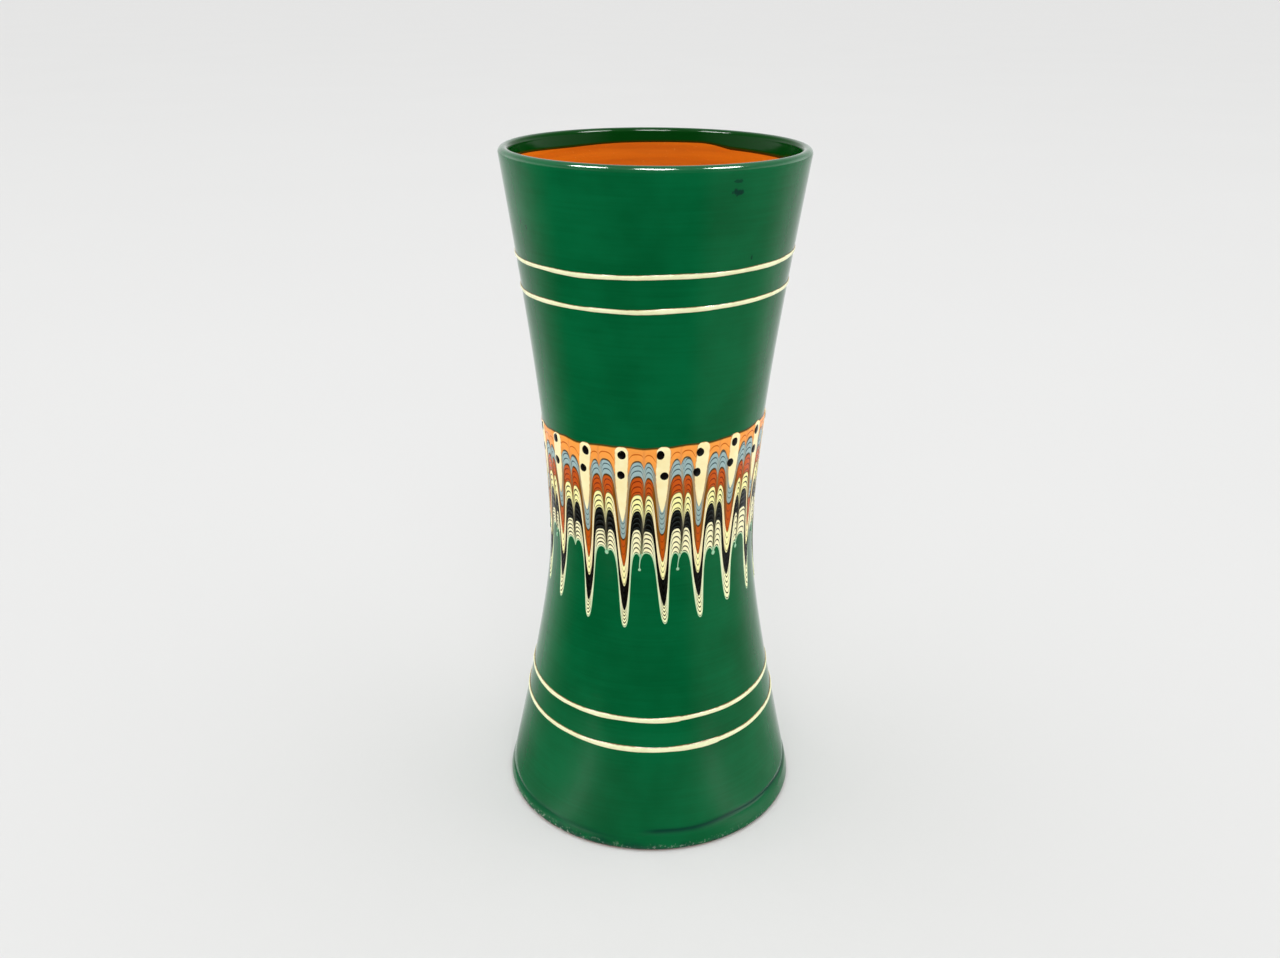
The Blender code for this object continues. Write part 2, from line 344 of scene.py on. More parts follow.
class Brush(Nodes):
    """A material's node tree, with short calls for what the finishes are made of."""

    def __init__(self, name: str) -> None:
        """Start a material that holds one Principled shader.

        Args:
            name: the material's name.
        """
        self.material = bpy.data.materials.new(name)
        self.material.use_nodes = True
        super().__init__(self.material.node_tree)
        self.shader = self.tree.nodes["Principled BSDF"]

    def mix(self, share: object, first: object, second: object) -> Socket:
        """A mix of two colours, with the share held between 0 and 1."""
        return self.node("ShaderNodeMix", {"Factor": share, 6: first, 7: second}, data_type="RGBA")[2]

    def mark(self, name: str) -> Socket:
        """A value that the mesh carries under this name."""
        return self.node("ShaderNodeAttribute", {}, attribute_name=name)["Fac"]

    def place(self, spot: Triple, unit: Triple) -> Socket:
        """Where each point of the object lies from a spot, in units along the three axes."""
        fed = {"Vector": self.node("ShaderNodeTexCoord", {})["Object"], "Location": spot, "Scale": unit}
        return self.node("ShaderNodeMapping", fed, vector_type="TEXTURE")["Vector"]

    def noise(self, size: float, detail: float = 3.0, stretch: Triple = (1, 1, 1)) -> Socket:
        """Noise from 0 to 1, in blotches about size across that are stretched along the axes."""
        place = self.place((0, 0, 0), tuple(size * share for share in stretch))
        return self.node("ShaderNodeTexNoise", {"Vector": place, "Scale": 1.0, "Detail": detail})["Fac"]

    def distance(self, spot: Triple, reach: Triple) -> Socket:
        """Distance from a spot on the object, in reaches along the three axes."""
        return self.node("ShaderNodeVectorMath", {0: self.place(spot, reach)}, operation="LENGTH")["Value"]

    def bump(self, height: object, depth: float, under: object = (0, 0, 0)) -> Socket:
        """A normal bumped by a height from 0 to 1 times a depth, on top of another bump if given."""
        fed = {"Strength": 1.0, "Distance": depth, "Height": height, "Normal": under}
        return self.node("ShaderNodeBump", fed)["Normal"]

    def finish(self, colour: object, roughness: object, normal: object, specular: object) -> Material:
        """Join the shader up.

        Args:
            colour: base colour.
            roughness: roughness.
            normal: bumped normal.
            specular: specular level.

        Returns:
            The finished material.
        """
        names = ("Base Color", "Roughness", "Normal", "Specular IOR Level")
        for name, value in zip(names, (colour, roughness, normal, specular)):
            self.feed(self.shader.inputs[name], value)
        return self.material


@dataclass(frozen=True)
class Glaze:
    """The clear glaze over every slip: its uneven gloss, a soft ripple and a fine grain."""

    roughness: float = 0.09
    roughness_spread: float = 0.06
    specular: float = 0.18
    ripple_size: float = 0.006
    ripple_depth: float = 0.00006
    skin_size: float = 0.0011
    skin_depth: float = 0.000006
    patch_size: float = 0.012

    def cover(self, brush: Brush, colour: object, specular: object = None) -> Material:
        """Lay the glaze over a colour: uneven gloss, a soft ripple and a fine skin.

        Args:
            brush: the material's nodes.
            colour: the slip's colour.
            specular: specular level, where it isn't the glaze's own.

        Returns:
            The finished material.
        """
        patches = brush.noise(self.patch_size, 2.0)
        roughness = brush.spread(patches, self.roughness, self.roughness + self.roughness_spread)
        ripple = brush.bump(brush.noise(self.ripple_size, 1.0), self.ripple_depth)
        skin = brush.bump(brush.noise(self.skin_size, 2.0), self.skin_depth, ripple)
        return brush.finish(colour, roughness, skin, self.specular if specular is None else specular)


GLAZE = Glaze()


@dataclass(frozen=True)
class Flaw:
    """A small dark place in the glaze: degrees, then millimetres, then how dark it is."""

    angle: float
    height: float
    width: float
    depth: float
    strength: float


GLAZE_FLAWS = (
    Flaw(28.5, 241.5, 2.6, 1.3, 0.85),
    Flaw(28.5, 245.0, 2.0, 0.7, 0.6),
    Flaw(38.5, 220.0, 0.5, 1.4, 0.7),
    Flaw(-61.0, 228.5, 0.6, 1.3, 0.7),
    Flaw(-57.0, 227.0, 0.6, 1.3, 0.7),
)
FORM = Form()


@dataclass(frozen=True)
class GreenSlip:
    """The green coat: brushed unevenly, thin and brown where it ends in the mouth, with painted shade."""

    deep: Colour = paint(0, 82, 42)
    pale: Colour = paint(3, 97, 54)
    # Pooled glaze and painted shade inside the mouth.
    pooled: Colour = paint(0, 64, 9)
    # Painted shade in the turned groove, and painted contact shadow with some stain along the foot.
    groove: Colour = paint(0, 58, 42)
    # Pale flecks low on the foot, most on the left.
    worn: Colour = paint(176, 190, 172)
    thin: Colour = paint(84, 50, 8)
    bare: Colour = paint(0, 40, 34)
    mouth_specular: float = 0.05
    cloud_size: float = 26 * MM
    cloud_share: float = 0.75
    stroke_size: float = 9 * MM
    stroke_stretch: Triple = (3.0, 3.0, 0.10)
    fleck_size: float = 1.1 * MM
    fray_size: float = 1.6 * MM
    fray: float = 0.9

    def flaws(self, brush: Brush) -> Socket:
        """Small dark places where the glaze crawled: stretched spots, frayed by noise.

        Args:
            brush: the material's nodes.

        Returns:
            How dark each place is, from 0 to 1.
        """
        fray = brush.spread(brush.noise(self.fray_size), -self.fray, self.fray)
        total: object = 0.0
        for flaw in GLAZE_FLAWS:
            spot = Form.at(FORM.wall(flaw.height * MM), math.radians(flaw.angle), flaw.height * MM)
            far = brush.distance(tuple(spot), (flaw.width * MM, flaw.width * MM, flaw.depth * MM))
            frayed = brush.step(brush.sum("ADD", far, fray), 0.5, 1.1)
            total = brush.sum("MAXIMUM", total, brush.sum("SUBTRACT", flaw.strength, frayed))
        return total

    def make(self) -> Material:
        """Build the material from brushed noise and the marks of thin and pooled glaze, painted shade and
        pale flecks.

        Returns:
            The finished material.
        """
        brush = Brush("green_slip_glazed")
        strokes = brush.noise(self.stroke_size, stretch=self.stroke_stretch)
        uneven = brush.spread(self.cloud_share, strokes, brush.noise(self.cloud_size, 4.0))
        green = brush.mix(brush.step(uneven, 0.30, 0.70), self.deep, self.pale)
        flawed = brush.mix(self.flaws(brush), green, self.bare)
        # Painted shade in the groove, and painted contact shadow with some stain along the foot.
        shaded = brush.mix(brush.mark("groove"), flawed, self.groove)
        # Pooled glaze and painted shade darken the green inside the mouth.
        pooled = brush.mix(brush.mark("pooled"), shaded, self.pooled)
        flecks = brush.step(brush.noise(self.fleck_size, 2.0), 0.56, 0.66)
        flecked = brush.mix(brush.product(brush.mark("worn"), flecks), pooled, self.worn)
        colour = brush.mix(brush.mark("thin"), flecked, self.thin)
        in_mouth = brush.step(brush.mark("pooled"), 0.85, 1.0)
        return GLAZE.cover(brush, colour, brush.spread(in_mouth, GLAZE.specular, self.mouth_specular))


@dataclass(frozen=True)
class BareClay:
    """Bare red clay with throwing lines and fine grog."""

    red: Colour = paint(232, 121, 8)
    dark: Colour = paint(214, 105, 6)
    grog: Colour = paint(240, 146, 50)
    roughness: float = 0.72
    roughness_spread: float = 0.15
    specular: float = 0.02
    line_size: float = 3.5 * MM
    line_stretch: Triple = (14.0, 14.0, 1.0)
    line_depth: float = 0.12 * MM
    patch_size: float = 30 * MM
    speck_size: float = 0.9 * MM
    grain_size: float = 0.5 * MM
    grain_depth: float = 0.03 * MM

    def make(self) -> Material:
        """Build the material from noise drawn out round the pot, and specks.

        Returns:
            The finished material.
        """
        brush = Brush("terracotta_bare")
        lines = brush.noise(self.line_size, stretch=self.line_stretch)
        body = brush.mix(brush.step(lines, 0.30, 0.75), self.red, self.dark)
        specks = brush.step(brush.noise(self.speck_size, 1.0), 0.68, 0.76)
        colour = brush.mix(brush.product(specks, 0.5), body, self.grog)
        patches = brush.noise(self.patch_size)
        roughness = brush.spread(patches, self.roughness, self.roughness + self.roughness_spread)
        ridge = brush.bump(lines, self.line_depth)
        grain = brush.bump(brush.noise(self.grain_size, 2.0), self.grain_depth, ridge)
        return brush.finish(colour, roughness, grain, self.specular)


@dataclass(frozen=True)
class TrailedSlip:
    """Slip trailed in a line or let fall as a drop: full in the middle, stained along its edge."""

    name: str
    body: Colour
    shade: Colour
    edge: Colour
    edge_share: float
    cloud_size: float = 5 * MM
    fray_size: float = 1.6 * MM
    fray: float = 0.12

    def make(self) -> Material:
        """Build the material from the mark edge, which is 0 in the middle and 1 along the edge.

        Returns:
            The finished material.
        """
        brush = Brush(self.name)
        cloud = brush.noise(self.cloud_size, 4.0)
        body = brush.mix(brush.step(cloud, 0.35, 0.70), self.body, self.shade)
        fray = brush.spread(brush.noise(self.fray_size, 2.0), -self.fray, self.fray)
        stain = brush.step(brush.sum("ADD", brush.mark("edge"), fray), self.edge_share, 1.0)
        return GLAZE.cover(brush, brush.mix(stain, body, self.edge))


class BandBrush(Brush):
    """A brush for a band, with the marks that its mesh carries and the distances from its edges.

    The mark across runs from 0 at the upper edge to 1 at the lower one. The marks pull, point and
    seam say how steeply the band is dragged and how near a point or a notch is. Distances are upright,
    in millimetres, and become square to the edges by the cosine of their slope, the mark level.
    """

    def __init__(self, name: str) -> None:
        """Start the material and read the marks.

        Args:
            name: the material's name.
        """
        super().__init__(name)
        self.across, self.span, self.level = map(self.mark, ("across", "span", "level"))
        self.pull, self.point, self.seam = map(self.mark, ("pull", "point", "seam"))
        self.from_top = self.product(self.across, self.span)
        self.from_foot = self.sum("SUBTRACT", self.span, self.from_top)
        self.apart = self.sum("SUBTRACT", 1.0, self.seam)


@dataclass(frozen=True)
class BandSlip:
    """Slip laid in several strokes that make one band, with fine dark gaps between the strokes.

    The gaps show where the strokes run level, on the arches and in the points, and close up where
    the drops have dragged the band steeply down and mixed a little of its neighbours into it. Widths
    are in millimetres.

    Attributes:
        body: colour on the arches.
        point: colour in the points.
        dragged: colour where it is dragged steeply.
        seam: colours along the notches, at the upper and at the lower edge.
        gap_width: half-width of a gap.
        gap_strengths: how dark the gaps are at the upper edge, at the lower edge and in the points.
        offset: shift of the gaps, in strokes.
        pitch: distance between the gaps where they are counted up from the lower edge.
        outline: width of the dark outline along the upper edge.
        outline_in_points: how dark it is in the points.
        top_fringe: width of the fringe along the upper edge.
        foot_fringe: width of the fringe along the lower edge.
    """

    name: str
    strokes: float
    body: Colour
    point: Colour
    dragged: Colour
    seam: tuple[Colour, Colour]
    gap: Colour
    gap_width: float
    gap_strengths: Triple
    offset: float = 0.0
    pitch: float = 0.0
    outline: float = 0.0
    outline_colour: Colour = (0.0, 0.0, 0.0)
    outline_in_points: float = 0.0
    fringe: Colour = (0.0, 0.0, 0.0)
    top_fringe: float = 0.0
    foot_fringe: float = 0.0
    waver_size: float = 3 * MM
    waver: float = 0.06
    fade_size: float = 3.5 * MM
    cloud_size: float = 4 * MM
    cloud_shade: float = 0.93

    def gaps(self, brush: BandBrush) -> Socket:
        """How dark the gaps between the strokes are.

        The distance to the nearest gap is |fract(n v + o + 1/2) - 1/2| / n times the band's depth,
        with v from 0 at the upper edge to 1 at the lower one, n strokes and an offset o. A band with
        a pitch counts its gaps in steps of the pitch up from its lower edge instead.

        Args:
            brush: the band's nodes.

        Returns:
            The share of the gaps' colour.
        """
        strokes = brush.product(brush.across, self.strokes)
        depth = brush.sum("DIVIDE", brush.span, self.strokes)
        if self.pitch:
            strokes = brush.sum("DIVIDE", brush.from_foot, self.pitch)
            depth = self.pitch
        waver = brush.spread(brush.noise(self.waver_size, 2.0), -self.waver, self.waver)
        place = brush.sum("ADD", brush.sum("ADD", strokes, waver), 0.5 + self.offset)
        share = brush.sum("ABSOLUTE", brush.sum("SUBTRACT", brush.sum("FRACT", place), 0.5))
        line = brush.step(brush.product(share, depth), self.gap_width, 0.5 * self.gap_width)
        inside = brush.step(brush.sum("MINIMUM", brush.from_top, brush.from_foot), 0.3, 0.7)
        faded = brush.spread(brush.noise(self.fade_size, 2.0), 0.8, 1.4)
        at_top, foot_shadow_and_stain, in_point = self.gap_strengths
        strength = brush.spread(brush.point, brush.spread(brush.across, at_top, foot_shadow_and_stain), in_point)
        return brush.product(line, brush.step(brush.pull, 0.88, 0.25), brush.apart, inside, faded, strength)

    def crests(self, brush: BandBrush) -> Socket:
        """How dark the outline along the upper edge is: full on the arches, less in the points.

        Args:
            brush: the band's nodes.

        Returns:
            The share of the outline's colour.
        """
        edge = brush.step(brush.from_top, self.outline, 0.5 * self.outline)
        arch = brush.sum("SUBTRACT", brush.apart, brush.step(brush.pull, 0.10, 0.50))
        low = brush.product(brush.point, self.outline_in_points)
        return brush.product(edge, brush.sum("MAXIMUM", arch, low))

    def make(self) -> Material:
        """Build the material: body, dragged flanks, seams, gaps, outline and fringes.

        Returns:
            The finished material.
        """
        brush = BandBrush(self.name)
        cloud = brush.step(brush.noise(self.cloud_size), 0.40, 0.75)
        shade = tuple(self.cloud_shade * value for value in self.body)
        body = brush.mix(brush.point, brush.mix(cloud, self.body, shade), self.point)
        worked = brush.mix(brush.step(brush.pull, 0.06, 0.55), body, self.dragged)
        joined = brush.mix(brush.seam, worked, brush.mix(brush.across, *self.seam))
        colour = brush.mix(self.gaps(brush), joined, self.gap)
        if self.outline:
            colour = brush.mix(self.crests(brush), colour, self.outline_colour)
        sides = ((self.top_fringe, 0.4, brush.from_top), (self.foot_fringe, 0.2, brush.from_foot))
        for width, core, distance in sides:
            if width:
                edge = brush.step(brush.product(distance, brush.level), width, core * width)
                colour = brush.mix(edge, colour, self.fringe)
        return GLAZE.cover(brush, colour)


CREAM_LINE = TrailedSlip(
    "cream_line_slip", paint(240, 242, 198), paint(232, 232, 184), paint(120, 74, 16), 0.66
)
CREAM_DROP = TrailedSlip(
    "cream_drop_slip", paint(254, 243, 191), paint(251, 234, 174), paint(216, 150, 80), 0.86
)
BLACK_DOT = TrailedSlip("black_dot_slip", paint(8, 6, 5), paint(14, 11, 9), paint(60, 44, 24), 0.9)
CREAM_DRIP = TrailedSlip(
    "cream_drip_slip", paint(164, 212, 172), paint(140, 196, 156), paint(50, 120, 76), 0.6
)


class Slip(Enum):
    """The six slips of the wavy bands, from the top band down."""

    ORANGE = BandSlip(
        "orange_band_slip", 2,
        body=paint(252, 162, 72), point=paint(252, 162, 72), dragged=paint(234, 154, 86),
        seam=(paint(242, 152, 66), paint(226, 146, 84)),
        gap=paint(196, 90, 18), gap_width=0.28, gap_strengths=(1.0, 1.0, 0.4),
        fringe=paint(70, 60, 14), top_fringe=0.85,
    )
    BLUE = BandSlip(
        "blue_band_slip", 3,
        body=paint(160, 186, 186), point=paint(150, 174, 170), dragged=paint(176, 152, 114),
        seam=(paint(156, 178, 174), paint(170, 154, 120)),
        gap=paint(66, 86, 90), gap_width=0.30, gap_strengths=(1.0, 1.0, 0.7), pitch=1.95,
        outline=0.75, outline_colour=paint(78, 64, 36), outline_in_points=0.35,
    )
    RUST = BandSlip(
        "rust_band_slip", 3.4,
        body=paint(200, 86, 24), point=paint(190, 82, 14), dragged=paint(126, 80, 22),
        seam=(paint(150, 118, 74), paint(100, 72, 12)),
        gap=paint(118, 38, 3), gap_width=0.30, gap_strengths=(0.95, 0.95, 0.6),
        outline=0.90, outline_colour=paint(76, 56, 22), outline_in_points=0.8,
    )
    YELLOW = BandSlip(
        "yellow_band_slip", 3.3,
        body=paint(255, 249, 172), point=paint(254, 247, 174), dragged=paint(254, 238, 186),
        seam=(paint(196, 184, 136), paint(150, 146, 120)),
        gap=paint(32, 26, 2), gap_width=0.38, gap_strengths=(1.25, 1.0, 0.65),
        outline=0.60, outline_colour=paint(112, 82, 20),
    )
    BLACK = BandSlip(
        "black_band_slip", 4,
        body=paint(4, 5, 3), point=paint(5, 4, 2), dragged=paint(12, 8, 3),
        seam=(paint(112, 108, 88), paint(46, 38, 12)),
        gap=paint(52, 60, 58), gap_width=0.24, gap_strengths=(0.6, 0.6, 0.15), offset=0.5,
    )
    CREAM = BandSlip(
        "cream_band_slip", 4.8,
        body=paint(255, 248, 200), point=paint(252, 251, 196), dragged=paint(247, 247, 202),
        seam=(paint(56, 48, 16), paint(120, 138, 90)),
        gap=paint(28, 22, 2), gap_width=0.36, gap_strengths=(0.8, 1.3, 1.3), offset=0.5,
        fringe=paint(180, 218, 172), foot_fringe=0.55,
    )

    @property
    def node(self) -> str:
        """Name of the band's solid."""
        return f"{self.name.lower()}_slip_band"

    @property
    def slot(self) -> str:
        """Name of the band's material slot."""
        return f"{self.name.lower()}_slip"


@dataclass(frozen=True)
class BandEdge:
    """One edge of a wavy band, in millimetres.

    Attributes:
        arch: height of its arches at the front.
        tilt: how much higher it runs on the right than at the front.
        tip: height of the point under the first drop, at the front.
        give: share of a drop's own fall that this edge follows.
        point_width: width that rounds the point of a drop's pull.
        half_width: half-width of that pull.
        shoulder: steepness of its flanks.
        notch: depth of the notch between two arches.
        notch_width: half-width of that notch.
    """

    arch: float
    tilt: float
    tip: float
    give: float
    point_width: float
    half_width: float
    shoulder: float
    notch: float
    notch_width: float


EDGES = (
    BandEdge(155.8, 1.6, 155.8, 0.0, 3.0, 2.4, 6.0, 0.0, 0.5),
    BandEdge(151.1, 2.8, 143.5, 0.5, 4.5, 2.90, 7.0, 3.4, 0.60),
    BandEdge(145.4, 1.5, 122.7, 1.08, 4.4, 2.05, 4.7, 4.4, 0.53),
    BandEdge(138.4, 1.6, 112.0, 0.95, 2.6, 2.36, 6.6, 8.5, 0.46),
    BandEdge(131.9, 1.6, 104.2, 0.90, 3.0, 2.36, 5.9, 7.1, 0.60),
    BandEdge(123.8, 2.1, 94.7, 1.00, 2.8, 2.39, 7.8, 6.4, 0.40),
    BandEdge(115.5, -0.4, 87.3, 0.60, 4.6, 2.24, 5.1, 3.0, 0.80),
)


@dataclass(frozen=True)
class Drop:
    """One cream drop and what it does to the bands, in degrees and millimetres.

    Attributes:
        angle: where it hangs.
        lean: how far the point that it drags lies to the right of it, in degrees.
        fall: how much higher its points end than those at the front.
        foot: height of its own lower end.
        dots: angle and height of its upper and its lower dot.
        head: how far its head lies to the right of it, in degrees.
        breadth: how broad its pull is, as a share of the edges' own.
    """

    angle: float
    lean: float
    fall: float
    foot: float
    dots: tuple[tuple[float, float], tuple[float, float]]
    head: float = 0.4
    breadth: float = 1.0


@dataclass(frozen=True)
class Notch:
    """The notch between two arches and the drip that hangs from it, in degrees and millimetres.

    Attributes:
        angle: where it starts, level with the heads of the drops.
        sway: how far it runs to the right by the foot of the bands, at an even pace.
        lean: how far it runs to the right besides, at a growing pace.
        drip: length of its drip.
        drip_width: half-width of the drip's round end.
    """

    angle: float
    sway: float
    lean: float
    drip: float
    drip_width: float


SEEN_DROPS = (
    Drop(-56.5, -1.4, 2.5, 131.0, ((-56.4, 152.1), (-56.9, 143.8)), 0.8),
    Drop(-36.2, 0.9, -1.6, 128.6, ((-34.6, 151.9), (-36.6, 144.9)), 1.3),
    Drop(-15.7, 1.6, -2.7, 126.6, ((-15.2, 152.4), (-15.8, 144.8)), 0.4),
    Drop(4.45, 2.4, 0.0, 131.0, ((3.5, 153.0), (5.3, 145.1)), 0.5),
    Drop(23.8, 2.3, 1.8, 132.0, ((22.9, 153.1), (21.8, 145.6)), 0.7),
    Drop(43.4, 1.1, 6.9, 136.0, ((43.0, 154.0), (41.5, 146.4)), 0.2, 1.16),
    Drop(64.4, 0.2, 4.4, 134.0, ((62.6, 154.5), (62.2, 147.2)), -0.6),
)
# Place in that row of the drop just right of the front, which counts as the first.
FIRST_DROP = 3
SEEN_NOTCHES = (
    Notch(-45.9, 0.0, -0.2, 0.0, 0.5),
    Notch(-27.5, 10.5, -9.7, 0.7, 0.75),
    Notch(-4.5, 2.7, -9.5, 5.8, 0.50),
    Notch(13.2, 15.5, -23.5, 5.8, 0.55),
    Notch(33.7, 1.9, -2.0, 2.2, 0.75),
    Notch(52.9, 0.0, -3.6, 3.2, 0.65),
)


@dataclass
class Pattern:
    """Where the drops and notches lie round the waist, and the edges that they draw in the bands.

    The drops at the front are set one by one. Those on the far side go on at the same pitch, each
    with a small seeded shift of its own.

    Attributes:
        head: height of the heads of the drops.
        foot: height of the foot of the bands.
        arch_foot: height of the lowest arches.
        notch_end: share of the fall from head to foot below which a notch hangs straight down.
        pull_degrees: half-width of the stretch that leans along with a drop.
        edge_waver: unevenness of the band edges, in millimetres.
        seam_width: half-width of the seam along a notch, in millimetres.
        drops: the drops, from the left of the front to the right and on round the back.
        notches: the notches, each to the right of its drop.
    """

    form: Form
    count: int = 18
    seed: int = 18
    head: float = 150.0 * MM
    foot: float = 88.0 * MM
    arch_foot: float = 112.0 * MM
    notch_end: float = 0.64
    pull_degrees: float = 6.0
    edge_waver: float = 0.25
    seam_width: float = 0.34
    seam_shoulder: float = 2.6
    column_count: int = 2400
    drops: list[Drop] = field(init=False)
    notches: list[Notch] = field(init=False)

    def __post_init__(self) -> None:
        """Continue the row of drops and notches round the back."""
        chance = np.random.default_rng(self.seed)
        pitch = 360 / self.count
        last = SEEN_DROPS[-1].angle
        self.drops = list(SEEN_DROPS)
        self.notches = [*SEEN_NOTCHES, Notch(last + pitch / 2, 0.0, 1.0, 3.0, 0.7)]
        for step in range(1, self.count - len(SEEN_DROPS) + 1):
            shift, lean, fall, upper, lower = chance.uniform(-1, 1, 5)
            angle = last + pitch * step + 0.8 * shift
            rise = 1.5 * math.sin(math.radians(angle))
            dots = ((angle + 0.9 * upper, 153.4 + rise), (angle + 1.3 * lower, 145.7 + rise))
            fall, foot = 0.8 + 3.4 * fall, 131 + 2.6 * fall
            self.drops.append(Drop(angle, 1.6 * lean, fall, foot, dots, 0.6 * upper))
            shift, sway, lean, drip, bulb = chance.uniform(-1, 1, 5)
            angle = last + pitch * (step + 0.5) + shift
            lean = 2.6 * lean - 8 * sway
            self.notches.append(Notch(angle, 6 * sway, lean, 3.6 + 2.6 * drip, 0.7 + 0.2 * bulb))

    @staticmethod
    def values(things: list[Drop] | list[Notch], name: str) -> Array:
        """One field of every drop or notch."""
        return np.array([getattr(thing, name) for thing in things], dtype=float)

    def along_waist(self, angle: Array, axes: Array) -> Array:
        """Distance along the waist from every axis, in millimetres, places by axes."""
        return self.form.waist_radius / MM * turn_from(angle[..., None], axes)

    def from_drops(self, angle: Array) -> Array:
        """Distance along the waist from every drop, in millimetres, places by drops."""
        return self.along_waist(angle, np.radians(self.values(self.drops, "angle")))

    def from_notches(self, angle: Array, height: Array) -> Array:
        """Distance along the waist from every notch, in millimetres, places by notches."""
        return self.along_waist(angle, self.notch_angles(height))

    def columns(self) -> Array:
        """Angles of the bands' columns, closest on the flanks of the drops and in the notches.

        The columns share out evenly the running total of a weight, which is one plus a bell round
        each drop and each notch.

        Returns:
            Angles in radians, rising through one turn.
        """
        fine = np.linspace(-math.pi, math.pi, 40 * self.column_count, endpoint=False)
        notches = self.notch_angles(np.linspace(self.head, self.arch_foot, 9)).mean(axis=0)
        near_drop = bell(self.from_drops(fine), 2.8, 6).sum(axis=1)
        near_notch = bell(self.along_waist(fine, notches), 1.7, 4).sum(axis=1)
        total = np.cumsum(1 + 2.5 * near_drop + 4 * near_notch)
        shares = np.linspace(0, total[-1], self.column_count, endpoint=False)
        return np.interp(shares, total - total[0], fine)

    def fall(self, height: Array) -> Array:
        """Share of the way from the heads of the drops down to the foot of the bands."""
        return np.clip((self.head - height) / (self.head - self.foot), 0, 1.1)

    def notch_angles(self, height: Array) -> Array:
        """Angles of the notches at some heights, heights by notches.

        A notch lies at its own angle, plus its sway times the share of the fall, plus its lean
        times the share's square. Below the arches it hangs straight down.

        Args:
            height: heights in metres.

        Returns:
            Angles in radians.
        """
        share = np.minimum(self.fall(height), self.notch_end)[..., None]
        angle, sway, lean = (self.values(self.notches, name) for name in ("angle", "sway", "lean"))
        return np.radians(angle + sway * share + lean * share**2)

    def point(self, angle: Array) -> Array:
        """How far each angle lies inside a drop's pull: one on its axis, none on the arches."""
        return drag(self.from_drops(angle), 6.0, 2.8, 8).sum(axis=1)

    def seam(self, angle: Array, height: Array) -> Array:
        """How near each place lies to a notch: one on its axis, one half at the seam's half-width."""
        return bell(self.from_notches(angle, height), self.seam_width, self.seam_shoulder).sum(axis=-1)

    def edge(self, index: int, angle: Array, notched: bool = True) -> Array:
        """Height of a band edge.

        The arch height, tilted and a little uneven, less the pull of each drop (a bell of the
        distance from its axis) and less the dip of each notch (a cusp of the distance from where
        the notch crosses this edge). The topmost edge isn't pulled.

        Args:
            index: which edge, from 0 at the top.
            angle: angles in radians.
            notched: whether the notches count.

        Returns:
            Heights in metres.
        """
        edge = EDGES[index]
        place, fall, breadth = (self.values(self.drops, name) for name in ("angle", "fall", "breadth"))
        height = edge.arch + edge.tilt * np.sin(angle) + self.edge_waver * waves(angle, 40 + index, 9, 30)
        if index:
            from_drop = self.from_drops(angle) / breadth
            depth = edge.arch + edge.tilt * np.sin(np.radians(place)) - edge.tip - edge.give * fall
            pull = drag(from_drop, edge.point_width, edge.half_width, edge.shoulder)
            height = height - (depth * pull).sum(axis=1)
        if notched:
            level = np.full_like(angle, (edge.arch - 0.5 * edge.notch) * MM)
            from_notch = self.from_notches(self.slant(angle, level), level)
            height = height - edge.notch * cusp(from_notch, edge.notch_width).sum(axis=1)
        return height * MM

    def slant(self, angle: Array, height: Array) -> Array:
        """Lean the pattern: shift each angle by the lean of the drops on either side.

        The lean is the same all over a drop's pull and runs evenly between two drops. It grows with
        the square of the fall from the heads of the drops.

        Args:
            angle: angles before the lean, in radians.
            height: heights in metres.

        Returns:
            Angles after the lean, in radians.
        """
        drops = self.values(self.drops, "angle")
        places = np.radians(np.concatenate([drops - self.pull_degrees, drops + self.pull_degrees]))
        leans = np.radians(np.tile(self.values(self.drops, "lean"), 2))
        lean = np.interp(angle, places, leans, period=TURN)
        return angle + lean * self.fall(height) ** 2


@dataclass(frozen=True)
class Place:
    """How a finished mesh goes into the scene: its name, its slot and the solids that it stands for."""

    name: str
    slot: str
    nodes: tuple[str, ...] = ()

    def put(self, lattices: list[Lattice], material: Material) -> bpy.types.Object:
        """Make the piece from its lattices and let it ride on the vase.

        Args:
            lattices: the piece's surfaces.
            material: its finish.

        Returns:
            The piece.
        """
        mesh = make_mesh(self.name, lattices, material)
        piece = add(self.name, mesh)
        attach(piece, "root")
        if self.nodes:
            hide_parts(*self.nodes)
        LOG.info("%s: %d faces, slot %s", self.name, len(mesh.polygons), self.slot)
        return piece


